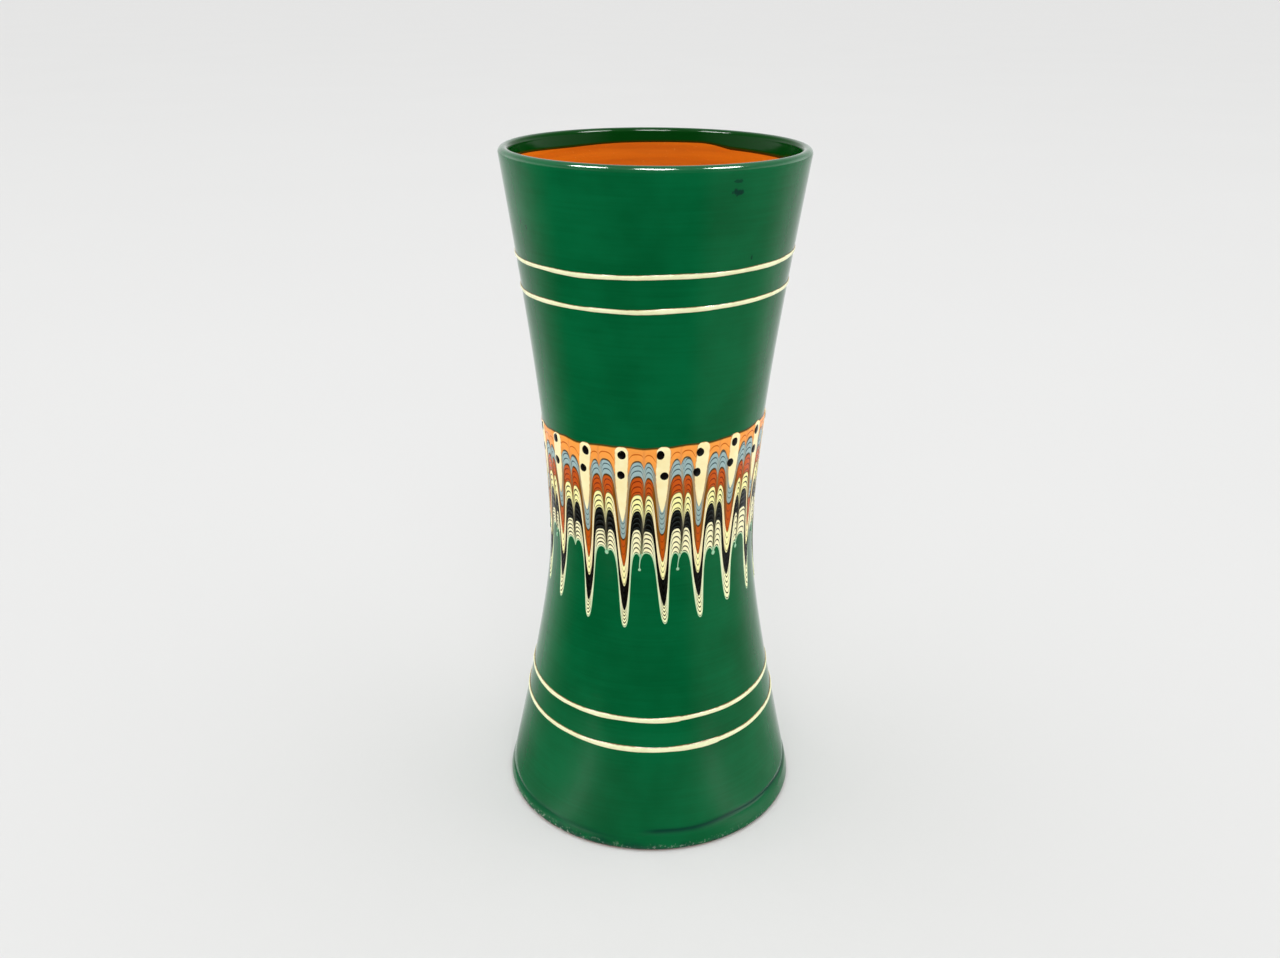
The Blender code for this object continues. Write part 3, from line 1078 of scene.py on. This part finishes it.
@dataclass
class ClayBody:
    """The thrown pot under the slip: bare inside and under the foot."""

    form: Form
    columns: int = 256
    pole_radius: float = 4.0 * MM
    under_coat: float = 0.35 * MM
    under_wall: float = 0.8 * MM
    wall_end: float = 0.6 * MM
    floor_height: float = 10.0 * MM
    fillet: float = 9.0 * MM
    ridge: float = 0.10 * MM
    ridge_pitch: float = 4.6 * MM
    ridge_drift: float = 190.0
    foot_ring: float = 10.0 * MM
    foot_inset: float = 0.9 * MM
    foot_bevel: float = 0.6 * MM
    bevel_rise: float = 0.4 * MM
    recess: float = 3.0 * MM

    def hollow(self, angle: Array) -> tuple[Array, Array]:
        """The inner face from the floor's middle up to the lip.

        A flat floor, a quarter round up to the wall, then the bore with spiral throwing ridges: a
        sine of the height whose phase goes once round with the angle.

        Args:
            angle: the columns' angles.

        Returns:
            Radii and heights, rows by columns.
        """
        start = self.floor_height + self.fillet
        side = float(self.form.bore(start)) + self.under_coat
        flat = np.linspace(self.pole_radius, side - self.fillet, 14)
        turn = np.linspace(-math.pi / 2, 0, 16)[1:]
        round_radius = side - self.fillet + self.fillet * np.cos(turn)
        heights = np.linspace(start, self.form.lip_height, 190)[1:]
        rows = heights[:, None]
        strength = self.ridge * (0.6 + 0.4 * np.sin(rows * self.ridge_drift))
        bore = self.form.bore(rows, angle) + self.under_coat
        bore = bore + strength * np.sin(TURN * rows / self.ridge_pitch + angle)
        turned = np.concatenate([flat, round_radius])[:, None] + np.zeros_like(angle)
        level = [np.full(flat.size, self.floor_height), start + self.fillet * np.sin(turn), heights]
        return np.vstack([turned, bore]), np.concatenate(level)[:, None] + np.zeros_like(angle)

    def outside(self, angle: Array) -> tuple[Array, Array]:
        """The face under the coat, from the lip down to the foot ring and in to the middle.

        Args:
            angle: the columns' angles.

        Returns:
            Radii and heights, rows by columns.
        """
        form = self.form
        lip = np.linspace(math.pi, 0, 9)[1:]
        reach = form.lip_radius - self.under_wall
        lip_radius = form.rim_radius - form.lip_radius + reach * np.cos(lip)
        heights = np.linspace(form.lip_height, self.wall_end, 40)[1:]
        wall = form.wall(heights) - self.under_wall
        outer = wall[-1] - self.foot_inset
        inner = outer - self.foot_ring
        ring = [outer, outer - self.foot_bevel, inner + self.foot_bevel, inner]
        foot = [*ring, inner - self.recess, self.pole_radius]
        foot_height = [self.bevel_rise, 0.0, 0.0, self.bevel_rise, self.recess, self.recess]
        radius = np.concatenate([lip_radius, wall, foot])
        height = np.concatenate([form.lip_height + reach * np.sin(lip), heights, foot_height])
        return radius[:, None] + np.zeros_like(angle), height[:, None] + np.zeros_like(angle)

    def build(self) -> bpy.types.Object:
        """Join the hollow and the outside into one closed body and dress it.

        Returns:
            The piece.
        """
        angle = around(self.columns)
        radius, height = map(np.vstack, zip(self.hollow(angle), self.outside(angle)))
        body = Lattice(self.form.at(radius, angle, height), capped=True)
        return Place("vase_clay", "terracotta", ("clay_body",)).put([body], BareClay().make())


@dataclass
class GreenCoat:
    """The green coat: over the lip, down the wall, and round the foot with its turned groove."""

    form: Form
    columns: int = 384
    thickness: float = 0.5 * MM
    inside_mouth: float = 6.1 * MM
    deeper_right: float = 1.1 * MM
    edge_waver: float = 0.35 * MM
    edge_sink: float = 0.45 * MM
    fine_below: float = 14.0 * MM
    foot_end: float = 0.5 * MM
    foot_round: float = 2.2 * MM
    bead: float = 0.28 * MM
    groove: float = 0.22 * MM
    groove_width: float = 0.80 * MM
    groove_start: float = -6.0
    groove_course: tuple[tuple[float, float], ...] = (
        (0, 7.6), (35, 8.2), (60, 9.2), (180, 8.6), (270, 6.4), (315, 5.2), (360, 4.4),
    )

    def groove_height(self, angle: Array) -> tuple[Array, Array]:
        """Where the groove above the foot runs.

        It is one turn of a slack helix: it starts at the front, rises a little on the right, runs
        round the back, comes down on the left and fades out just below where it started. Its course
        is given in degrees to the right of the start and in millimetres.

        Args:
            angle: angles in radians.

        Returns:
            The groove's heights in metres, and its strength from 0 to 1.
        """
        from_start = (np.degrees(angle) - self.groove_start) % 360
        height = np.interp(from_start, *zip(*self.groove_course)) + 0.25 * waves(angle, 5, 5, 14)
        fainter = 1 - 0.55 * smooth_step(from_start, 200, 290)
        ends = smooth_step(from_start, 0, 10) * (1 - smooth_step(from_start, 342, 360))
        return height * MM, ends * fainter

    def foot_radius(self, height: Array, angle: Array) -> Array:
        """Radius near the foot.

        The wall carried on downwards, plus a bead that swells below the groove, less the groove's
        own dip (a Gaussian of the distance from it), less a rounded lower corner.

        Args:
            height: heights in metres.
            angle: angles in radians.

        Returns:
            Radii in metres.
        """
        groove, strength = self.groove_height(angle)
        swell = self.bead * smooth_step(groove - height, -0.6 * MM, 2.6 * MM)
        dip = self.groove * strength * np.exp(-(((height - groove) / self.groove_width) ** 2))
        corner = np.clip((self.foot_round - height) / self.foot_round, 0, 1)
        rounded = self.foot_round * 0.7 * (1 - np.sqrt(1 - corner * corner))
        return self.form.wall(height, angle) + swell - dip - rounded

    def mouth(self, angle: Array) -> tuple[Array, Array, Array]:
        """The face inside the mouth, up from a wavy thin edge that lies deeper right of the back.

        Args:
            angle: the columns' angles.

        Returns:
            Radii, heights, and how thin the coat is, rows by columns.
        """
        from_back = np.degrees(math.pi - angle)
        deeper = smooth_step(from_back, 21, 37) * (1 - smooth_step(from_back, 150, 170))
        depth = self.inside_mouth + self.deeper_right * deeper
        edge = self.form.height - depth + self.edge_waver * waves(angle, 8, 2, 9)
        climb = np.linspace(0, 1, 20)[:, None] ** 1.5
        height = edge + (self.form.lip_height - edge) * climb
        sunk = self.edge_sink * (1 - smooth_step(height - edge, 0, 1.4 * MM))
        thin = 1 - smooth_step(height - edge, 0.2 * MM, 1.6 * MM)
        return self.form.bore(height, angle) + sunk, height, thin

    def lip(self, angle: Array) -> tuple[Array, Array, Array]:
        """The round of the lip, from inside to outside: half a circle.

        Args:
            angle: the columns' angles.

        Returns:
            Radii, heights, and how much glaze has pooled, with painted shade, which is on the inner side.
        """
        form = self.form
        turn = np.linspace(math.pi, 0, 22)[1:-1, None] + np.zeros_like(angle)
        middle = form.wall(form.lip_height, angle) - form.lip_radius
        radius = middle + form.lip_radius * np.cos(turn)
        height = form.lip_height + form.lip_radius * np.sin(turn)
        return radius, height, smooth_step(turn, 0.40 * math.pi, 0.75 * math.pi)

    def shade_stains_and_flecks(self, height: Array, angle: Array) -> tuple[Array, Array]:
        """Painted shade in the groove, painted shadow and stain at the foot, and pale flecks low down.

        Args:
            height: heights in metres.
            angle: angles in radians.

        Returns:
            How dark and how flecked each place is, from 0 to 1.
        """
        groove, strength = self.groove_height(angle)
        # Painted shade in the turned groove.
        groove_shade = strength * np.exp(-(((height - groove) / (1.1 * self.groove_width)) ** 2))
        degrees = np.degrees(angle)
        uneven = np.clip(0.8 + 0.5 * waves(angle, 6, 20, 90), 0.4, 1.3)
        reach = (2.4 + 2.6 * bell(degrees + 22, 30, 4)) * MM * uneven
        # Painted contact shadow with some stain along the foot, reaching higher left of the front.
        foot_shadow_and_stain = 0.85 * (1 - smooth_step(height, 0.4 * MM, reach))
        # Pale flecks low on the foot, most on the left.
        worn = (0.25 + 0.75 * bell(degrees + 44, 13, 4)) * (1 - smooth_step(height, 1.5 * MM, 3.6 * MM))
        return np.maximum(groove_shade, foot_shadow_and_stain), worn

    def build(self) -> bpy.types.Object:
        """Carry the coat's closed section round the axis and dress it.

        The section runs up the mouth, over the lip, down the wall to the foot, and back up behind, a
        thickness inside.

        Returns:
            The piece.
        """
        angle = around(self.columns)
        mouth_radius, mouth_height, thin = self.mouth(angle)
        lip_radius, lip_height, pooled = self.lip(angle)
        upper = np.linspace(self.form.lip_height, self.fine_below, 118)
        lower = np.linspace(self.fine_below, self.foot_end, 46)[1:]
        wall_height = np.concatenate([upper, lower])[:, None] + np.zeros_like(angle)
        wall_radius = self.foot_radius(wall_height, angle)
        back_height = wall_height[::-4]
        back_radius = np.minimum(self.form.wall(back_height, angle), wall_radius[::-4]) - self.thickness
        radius = np.vstack([mouth_radius, lip_radius, wall_radius, back_radius])
        height = np.vstack([mouth_height, lip_height, wall_height, back_height])
        lip, wall, back = np.cumsum([len(mouth_height), len(lip_height), len(wall_height)])
        # The mouth and the lip's inner side carry pooled glaze and painted shade.
        marks = {name: np.zeros_like(radius) for name in ("thin", "pooled", "groove", "worn")}
        marks["thin"][:lip] = thin
        marks["pooled"][:lip] = 1
        marks["pooled"][lip:wall] = pooled
        # The groove mark paints shade in the groove and a contact shadow with some stain along the foot.
        marks["groove"][wall:back], marks["worn"][wall:back] = self.shade_stains_and_flecks(wall_height, angle)
        coat = Lattice(self.form.at(radius, angle, height), ring_rows=True, marks=marks)
        place = Place("vase_green_coat", "green_slip", ("green_slip_coat",))
        return place.put([coat], GreenSlip().make())


@dataclass
class TrailedLine:
    """A cream line trailed once round the pot, lapped where its two ends meet.

    Attributes:
        node: the solid that it stands for.
        height: its mean height.
        rise: how much higher it runs on the right.
        sag: how much lower it runs at the front.
        width: its width.
        lap: angle at which its ends meet, in degrees.
        lap_length: angle over which they lie on each other, in degrees.
        seed: choice of its unevenness.
    """

    form: Form
    node: str
    height: float
    rise: float
    sag: float
    width: float
    lap: float
    lap_length: float
    seed: int
    crown: float = 0.42 * MM
    waver: float = 0.12 * MM
    columns: int = 720

    def build(self, material: Material) -> bpy.types.Object:
        """Carry a low dome along the line.

        The dome is crown * (1 - s^2)^0.6 across the line, with s from -1 to 1. The line's height is
        mean + rise * sin(angle) - sag * cos(angle), and it is wider by three tenths where its ends lap.

        Args:
            material: its finish.

        Returns:
            The piece.
        """
        angle = around(self.columns)
        uneven = waves(angle, self.seed, 3, 40)
        middle = self.height + self.rise * np.sin(angle) - self.sag * np.cos(angle)
        middle = middle + self.waver * waves(angle, self.seed + 1, 4, 16)
        behind = np.degrees(-turn_from(angle, math.radians(self.lap)))
        lap_end = 1 - smooth_step(behind, 0.6 * self.lap_length, self.lap_length)
        lapped = smooth_step(behind, 0, 1.5) * lap_end
        half = self.width / 2 * (1 + 0.10 * uneven + 0.30 * lapped)
        across = np.linspace(1, -1, 13)[:, None]
        lift = self.crown * (1 - across**2) ** 0.6 * (1 + 0.12 * uneven)
        root = np.full_like(angle, ROOT)
        height = with_ends(middle + half * across)
        points = self.form.on_wall(angle, height, np.vstack([root, lift, root]))
        line = Lattice(points, ring_rows=True, marks={"edge": np.abs(with_ends(across))})
        return Place(f"vase_{self.node}", "cream_slip", (self.node,)).put([line], material)


TRAILED_LINES = (
    TrailedLine(
        FORM, "rim_line_upper", height=215.4 * MM, rise=1.1 * MM, sag=0.1 * MM,
        width=1.7 * MM, lap=150, lap_length=14, seed=11,
    ),
    TrailedLine(
        FORM, "rim_line_lower", height=204.1 * MM, rise=1.35 * MM, sag=0.0,
        width=1.7 * MM, lap=200, lap_length=12, seed=12,
    ),
    TrailedLine(
        FORM, "foot_line_upper", height=51.6 * MM, rise=0.45 * MM, sag=0.9 * MM,
        width=1.65 * MM, lap=14, lap_length=56, seed=13,
    ),
    TrailedLine(
        FORM, "foot_line_lower", height=40.4 * MM, rise=0.0, sag=0.95 * MM,
        width=1.75 * MM, lap=32, lap_length=66, seed=14,
    ),
)


@dataclass
class WavyBand:
    """One slip band: a strip between two neighbouring edges of the pattern, raised in strokes."""

    pattern: Pattern
    slip: Slip
    index: int
    ground: float = 0.14 * MM
    ridge: float = 0.15 * MM
    dragged_ridge: float = 0.8
    feather: float = 0.5 * MM
    thinnest: float = 0.05 * MM
    steep: float = 6.0
    run_out: float = 2.0
    edge_share: float = 0.12
    rows_a_stroke: int = 6

    @property
    def strokes(self) -> int:
        """Number of the band's raised strokes."""
        return round(self.slip.value.strokes)

    def slope(self, height: Array, angle: Array) -> Array:
        """Rise over run of rows of heights, along the waist."""
        run = self.pattern.form.waist_radius * turn_from(np.roll(angle, -1), np.roll(angle, 1))
        return (np.roll(height, -1, axis=1) - np.roll(height, 1, axis=1)) / run

    def surface(self, angle: Array) -> tuple[Array, Array, Array, Array]:
        """Heights of the band's rows and how steeply the drops have dragged them.

        A row's height is the upper edge plus a share v of the way to the lower edge. Its pull is
        s^2 / (s^2 + steep^2), with s the slope that it would have without the notches.

        Args:
            angle: the columns' angles.

        Returns:
            Shares v, heights, depths in millimetres, and pulls, rows by columns.
        """
        edge = self.pattern.edge
        upper = edge(self.index, angle)
        lower = np.minimum(edge(self.index + 1, angle), upper - self.thinnest)
        share = np.linspace(0, 1, self.rows_a_stroke * self.strokes + 1)[:, None]
        height = upper + (lower - upper) * share
        plain = edge(self.index, angle, False) * (1 - share) + edge(self.index + 1, angle, False) * share
        slope = self.slope(plain, angle)
        pull = slope**2 / (slope**2 + self.steep**2)
        return share, height, (upper - lower) / MM + 0 * share, pull

    def build(self, angle: Array) -> bpy.types.Object:
        """Lay the band on the wall.

        Each stroke is a ridge 1 - |2 fract(n v) - 1|^3. Where the band is dragged steeply, they give
        way to one lower ridge 1 - |2 v - 1|^4. The outer edges of the first and last bands run out
        thin. A row on either side runs on past the edge down into the coat and closes the strip.

        Args:
            angle: the columns' angles.

        Returns:
            The piece.
        """
        share, height, span, pull = self.surface(angle)
        stroke = 1 - np.abs(2 * ((share * self.strokes) % 1) - 1) ** 3
        dragged = 1 - np.abs(2 * share - 1) ** 4
        lift = self.ground + self.ridge * (stroke * (1 - pull) + self.dragged_ridge * dragged * pull)
        level = 1 / np.hypot(1, self.slope(height, angle))
        outer = {0: share, len(Slip) - 1: 1 - share}
        if self.index in outer:
            whole = smooth_step(outer[self.index] * span * level, 0, self.run_out)
            lift = lift * (self.edge_share + (1 - self.edge_share) * whole)
        root = np.full((1, angle.size), ROOT)
        height = np.vstack([height[:1] + self.feather, height, height[-1:] - self.feather])
        slanted = self.pattern.slant(angle, height)
        marks = {"across": share, "span": span, "pull": pull, "level": level}
        marks = {name: with_ends(rows) for name, rows in marks.items()}
        marks["point"] = self.pattern.point(angle)
        marks["seam"] = self.pattern.seam(slanted, height)
        points = self.pattern.form.on_wall(slanted, height, np.vstack([root, lift, root]))
        band = Lattice(points, ring_rows=True, marks=marks)
        place = Place(f"vase_{self.slip.name.lower()}_band", self.slip.slot, (self.slip.node,))
        return place.put([band], self.slip.value.make())


@dataclass
class Tongue:
    """A tongue of slip that hangs on the wall: a drop, or a drip under the bands."""

    form: Form
    head: float
    tip: float
    edge_lift: float
    crown: float
    rows: int = 48
    columns: int = 17
    least_width: float = 0.03 * MM

    def heights(self) -> Array:
        """Heights of the rows from head to tip, closest at both ends."""
        share = 0.5 - 0.498 * np.cos(np.linspace(0, math.pi, self.rows))
        return self.head + (self.tip - self.head) * share

    def lattice(self, axis: Array, half_width: Array, rise: Array | float = 1.0) -> Lattice:
        """A closed tongue.

        Across it runs c from -1 to 1, at an arc of c * half_width from its axis, and it stands
        rise * (edge_lift + crown * sqrt(1 - c^2)) off the wall, the crown lower where the tongue is
        narrow. Two more columns close it underneath.

        Args:
            axis: angles of the axis, one for each row.
            half_width: half-widths in metres, one for each row.
            rise: shares of the full lift, one for each row.

        Returns:
            The tongue, with the mark edge.
        """
        across = np.sin(np.linspace(-math.pi / 2, math.pi / 2, self.columns))
        height = self.heights()[:, None]
        full = np.clip(half_width / half_width.max(), 0.05, 1)[:, None]
        lift = self.edge_lift + self.crown * np.sqrt(full) * np.sqrt(1 - across**2)
        lift = lift * np.reshape(rise, (-1, 1))
        root = np.full_like(height, ROOT)
        reach = np.maximum(half_width, self.least_width)[:, None] / self.form.waist_radius
        share = (self.head - height) / (self.head - self.tip)
        ends = smooth_step(np.abs(2 * share - 1), 0.90, 1.0)
        closed = with_ends(across[:, None]).T
        angle = axis[:, None] + reach * closed
        points = self.form.on_wall(angle, height, np.hstack([root, lift, root]))
        return Lattice(points, capped=True, marks={"edge": np.maximum(np.abs(closed), ends)})


@dataclass
class CreamDrop:
    """One cream drop: a round head, nearly parallel sides, and a long taper to its point."""

    pattern: Pattern
    drop: Drop
    number: int
    half_width: float = 2.35 * MM
    head_round: float = 1.9 * MM
    taper_from: float = 150.0 * MM
    top_height: float = 155.9 * MM
    top_tilt: float = 1.8 * MM
    sway_from: float = 145.0 * MM
    sway_to: float = 153.0 * MM
    rise_over: float = 1.5 * MM
    least_rise: float = 0.25
    edge_lift: float = 0.26 * MM
    crown: float = 0.22 * MM

    def build(self, material: Material) -> bpy.types.Object:
        """Shape the drop.

        Its half-width is w * (1 - s^2)^0.68, with s the share of the way from where the taper
        starts down to the tip, times a circle's round over the head. The head follows the tilt of
        the bands, sways aside and rises from the band.

        Args:
            material: its finish.

        Returns:
            The piece.
        """
        top = self.top_height + self.top_tilt * math.sin(math.radians(self.drop.angle))
        tip = self.drop.foot * MM
        tongue = Tongue(self.pattern.form, top, tip, self.edge_lift, self.crown)
        height = tongue.heights()
        share = np.clip((self.taper_from - height) / (self.taper_from - tip), 0, 1)
        down = np.clip((top - height) / self.head_round, 0, 1)
        width = self.half_width * (1 - share**2) ** 0.68 * np.sqrt(1 - (1 - down) ** 2)
        sway = self.drop.head * smooth_step(height, self.sway_from, self.sway_to)
        axis = self.pattern.slant(np.radians(self.drop.angle + sway), height)
        rise = self.least_rise + (1 - self.least_rise) * smooth_step(top - height, 0, self.rise_over)
        node = f"cream_drop_{self.number:02d}"
        place = Place(f"vase_{node}", "cream_slip", (node,))
        return place.put([tongue.lattice(axis, width, rise)], material)


@dataclass
class BlackDots:
    """Two black dots on every drop: low round caps, a little taller than wide."""

    pattern: Pattern
    half_width: float = 1.38 * MM
    half_height: float = 1.72 * MM
    foot_lift: float = 0.44 * MM
    root_lift: float = 0.1 * MM
    cap: float = 0.18 * MM
    lumps: float = 0.03
    rings: int = 7
    columns: int = 28
    seed: int = 36

    def build(self, material: Material) -> bpy.types.Object:
        """Shape every dot on polar grids.

        At a share p of the way out and a bearing b, a point lies p * w * cos(b) to the side and
        p * h * sin(b) up, and stands cap * (1 - p^2) off the drop.

        Args:
            material: its finish.

        Returns:
            The joined dots.
        """
        chance = np.random.default_rng(self.seed)
        form = self.pattern.form
        out = np.append(np.linspace(0.06, 1, self.rings), 1.0)[:, None]
        bearing = np.linspace(0, -TURN, self.columns, endpoint=False)
        lift = self.foot_lift + self.cap * (1 - out**2)
        lift[-1] = self.root_lift
        dots = []
        for angle, height in [dot for drop in self.pattern.drops for dot in drop.dots]:
            wide, tall, phase = chance.uniform(0.95, 1.05, 3)
            reach = out * (1 + self.lumps * waves(bearing, int(1000 * phase), 2, 4))
            side = self.half_width * wide * reach * np.cos(bearing)
            turned = math.radians(angle) + side / form.waist_radius
            level = height * MM + self.half_height * tall * reach * np.sin(bearing)
            points = form.on_wall(turned, level, lift)
            dots.append(Lattice(points, capped=True, marks={"edge": out}))
        return Place("vase_black_dots", "black_slip").put(dots, material)


@dataclass
class Drips:
    """The drips that hang from the notches under the lowest band: a thin tail and a round bulb."""

    pattern: Pattern
    head: float = 114.6 * MM
    hidden: float = 1.0 * MM
    tail: float = 0.17 * MM
    tail_growth: float = 1.2
    bulb_share: float = 1.15
    edge_lift: float = 0.06 * MM
    crown: float = 0.22 * MM
    rows: int = 40

    def build(self, material: Material) -> bpy.types.Object:
        """Shape every drip.

        Its half-width is the larger of a thin tail, widening upwards, and a circle's round at the
        lower end.

        Args:
            material: its finish.

        Returns:
            The joined drips.
        """
        drips = []
        for index, notch in enumerate(self.pattern.notches):
            if not notch.drip:
                continue
            tip = self.head - self.hidden - notch.drip * MM
            tongue = Tongue(self.pattern.form, self.head, tip, self.edge_lift, self.crown, self.rows)
            height = tongue.heights()
            bulb = self.bulb_share * notch.drip_width * MM
            from_tip = height - tip
            round_end = bulb * np.sqrt(np.clip(1 - (from_tip / bulb - 1) ** 2, 0, 1))
            neck = self.tail * (1 + self.tail_growth * (from_tip / (self.head - tip)) ** 3)
            width = np.maximum(round_end, neck * smooth_step(from_tip, 0, bulb))
            drips.append(tongue.lattice(self.pattern.notch_angles(height)[:, index], width))
        return Place("vase_drips", "cream_slip").put(drips, material)


@dataclass
class Studio:
    """The pale floor, the soft light and the camera."""

    floor_radius: float = 90.0
    floor_colour: Colour = (0.755, 0.755, 0.75)
    floor_drop: float = 0.2 * MM
    card_span: tuple[int, int] = (-128, 122)
    card_reach: tuple[float, float] = (0.062, 1.8)
    card_height: float = 0.5 * MM
    streak_angle: float = 45.0
    streak_width: float = 8.5
    streak_level: float = 0.75
    world_level: float = 1.04
    front_level: float = 0.42
    side_level: float = 1.9
    backdrop_level: float = 0.86
    glint_places: tuple[Triple, ...] = ((-0.72, -0.28, 1.3), (0.0, -0.62, 1.3), (0.74, -0.28, 1.3))
    glint_power: float = 60.0
    glint_size: float = 0.46
    fill_place: Triple = (0.0, -3.0, 2.2)
    fill_power: float = 12.5
    fill_size: float = 3.0
    fill_spread: float = 110.0
    aim: Triple = (0.0, 0.0, 0.15)
    eye: Triple = (-0.0045, -0.4189, 0.3010)
    pitch: float = 22.531
    roll: float = 0.325
    lens: float = 33.75
    sensor: float = 36.0

    def floor(self) -> None:
        """A wide round floor in plain pale paper, a little cloudy and with a fine grain."""
        brush = Brush("pale_floor")
        pale = tuple(0.98 * value for value in self.floor_colour)
        colour = brush.mix(brush.noise(0.4, 2.0), self.floor_colour, pale)
        brush.finish(colour, 0.9, brush.bump(brush.noise(2 * MM, 1.0), 0.02 * MM), 0.0)
        radius = np.geomspace(0.02, self.floor_radius, 40)[:, None]
        points = Form.at(radius, around(96), -self.floor_drop)
        floor = add("floor", make_mesh("floor", [Lattice(points)], brush.material))

    def card(self) -> None:
        """A dark card on the floor in front, which only reflections see: it keeps the glaze deep.

        Its shade runs from dark in the middle to the floor's own at its two sides, slowly on the
        left, and on the right in two steps. Close to the foot it is a little paler, and on either
        side of the middle it glows there in a soft streak.
        """
        brush = Brush("dark_card")
        colour = brush.mix(brush.mark("shade"), self.floor_colour, (0.01, 0.01, 0.01))
        brush.feed(brush.shader.inputs["Emission Strength"], brush.mark("glow"))
        brush.finish(colour, 0.9, brush.bump(brush.noise(10 * MM), 0.1 * MM), 0.0)
        left_end, right_end = self.card_span
        degrees = np.linspace(left_end, right_end, right_end - left_end + 1)
        radius = np.geomspace(*self.card_reach, 28)[:, None]
        points = Form.at(radius, np.radians(degrees), self.card_height)
        left = smooth_step(degrees, left_end, -76)
        right = 1 - 0.42 * smooth_step(degrees, 26, 52) - 0.58 * smooth_step(degrees, 88, right_end)
        streak = bell(np.abs(degrees) - self.streak_angle, self.streak_width, 2)
        near = 1 - smooth_step(radius, 0.14, 0.30)
        shade = left * right * (1 - (0.16 + 0.80 * streak) * near)
        marks = {"shade": shade, "glow": self.streak_level * streak * near}
        sheet = Lattice(points, ring_columns=False, marks=marks)
        card = add("dark_card", make_mesh("dark_card", [sheet], brush.material))
        card.visible_camera = False
        card.visible_diffuse = False
        card.visible_shadow = False
        card.visible_transmission = False

    def world(self) -> None:
        """Soft white light from above and behind, dim in front, and brightest low on either side.

        The level falls from world_level to front_level as the direction turns to the front and down
        towards the horizon, and rises by side_level low down on the left and on the right. The
        camera sees an even backdrop.
        """
        world = bpy.data.worlds.new("studio")
        bpy.context.scene.world = world
        world.use_nodes = True
        sky = Nodes(world.node_tree)
        direction = sky.node("ShaderNodeTexCoord", {})["Generated"]
        across, away, up = sky.node("ShaderNodeSeparateXYZ", {"Vector": direction})
        front = sky.product(sky.step(away, 0.05, -0.6), sky.step(up, 0.75, 0.45))
        side = sky.product(sky.step(sky.sum("ABSOLUTE", across), 0.50, 0.90), sky.step(up, 0.50, 0.15))
        level = sky.spread(front, self.world_level, self.front_level)
        level = sky.sum("ADD", level, sky.product(side, self.side_level))
        seen = sky.node("ShaderNodeLightPath", {})["Is Camera Ray"]
        background = world.node_tree.nodes["Background"]
        sky.feed(background.inputs["Strength"], sky.spread(seen, level, self.backdrop_level))
        sky.feed(background.inputs["Color"], (1.0, 1.0, 1.0))

    def lamp(self, name: str, place: Triple, power: float, size: float) -> bpy.types.Object:
        """A round lamp that looks at the vase.

        Args:
            name: the lamp's name.
            place: where it hangs.
            power: its power in watts.
            size: its diameter.

        Returns:
            The lamp.
        """
        light = bpy.data.lights.new(name, "AREA")
        light.shape = "DISK"
        light.size = size
        light.energy = power
        lamp = add(name, light)
        turned = (Vector(self.aim) - Vector(place)).to_track_quat("-Z", "Y")
        lamp.matrix_world = Matrix.Translation(place) @ turned.to_matrix().to_4x4()
        return lamp

    def lamps(self) -> None:
        """Three lamps overhead that only glint on the glaze, and a wide soft fill from the front."""
        for name, place in zip(("left", "middle", "right"), self.glint_places):
            glint = self.lamp(f"glint_{name}", place, self.glint_power, self.glint_size)
            glint.visible_diffuse = False
        fill = self.lamp("soft_fill", self.fill_place, self.fill_power, self.fill_size)
        fill.data.spread = math.radians(self.fill_spread)
        fill.visible_glossy = False

    def camera(self) -> None:
        """The camera at the photograph's place, looking down along +Y with a slight roll."""
        lens = bpy.data.cameras.new("camera")
        lens.lens = self.lens
        lens.sensor_fit = "HORIZONTAL"
        lens.sensor_width = self.sensor
        lens.clip_start = 0.01
        lens.clip_end = 100.0
        camera = add("camera", lens)
        down = Matrix.Rotation(math.radians(90 - self.pitch), 4, "X")
        roll = Matrix.Rotation(math.radians(self.roll), 4, "Z")
        camera.matrix_world = Matrix.Translation(self.eye) @ down @ roll
        bpy.context.scene.camera = camera

    def build(self) -> None:
        """Set up the floor, the light, the camera and the plain view."""
        self.floor()
        self.card()
        self.world()
        self.lamps()
        self.camera()
        bpy.context.scene.view_settings.view_transform = "Standard"


def main() -> None:
    """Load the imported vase, dress every layer from the clay outwards, and set up the studio."""
    logging.basicConfig(level=logging.INFO, format="%(name)s: %(message)s")
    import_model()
    pattern = Pattern(FORM)
    ClayBody(FORM).build()
    GreenCoat(FORM).build()
    cream = CREAM_LINE.make()
    for line in TRAILED_LINES:
        line.build(cream)
    columns = pattern.columns()
    for index, slip in enumerate(Slip):
        WavyBand(pattern, slip, index).build(columns)
    drop_cream = CREAM_DROP.make()
    for order, drop in enumerate(pattern.drops):
        CreamDrop(pattern, drop, (order - FIRST_DROP) % pattern.count + 1).build(drop_cream)
    BlackDots(pattern).build(BLACK_DOT.make())
    Drips(pattern).build(CREAM_DRIP.make())
    Studio().build()
    bpy.context.view_layer.update()


if __name__ == "__main__":
    main()
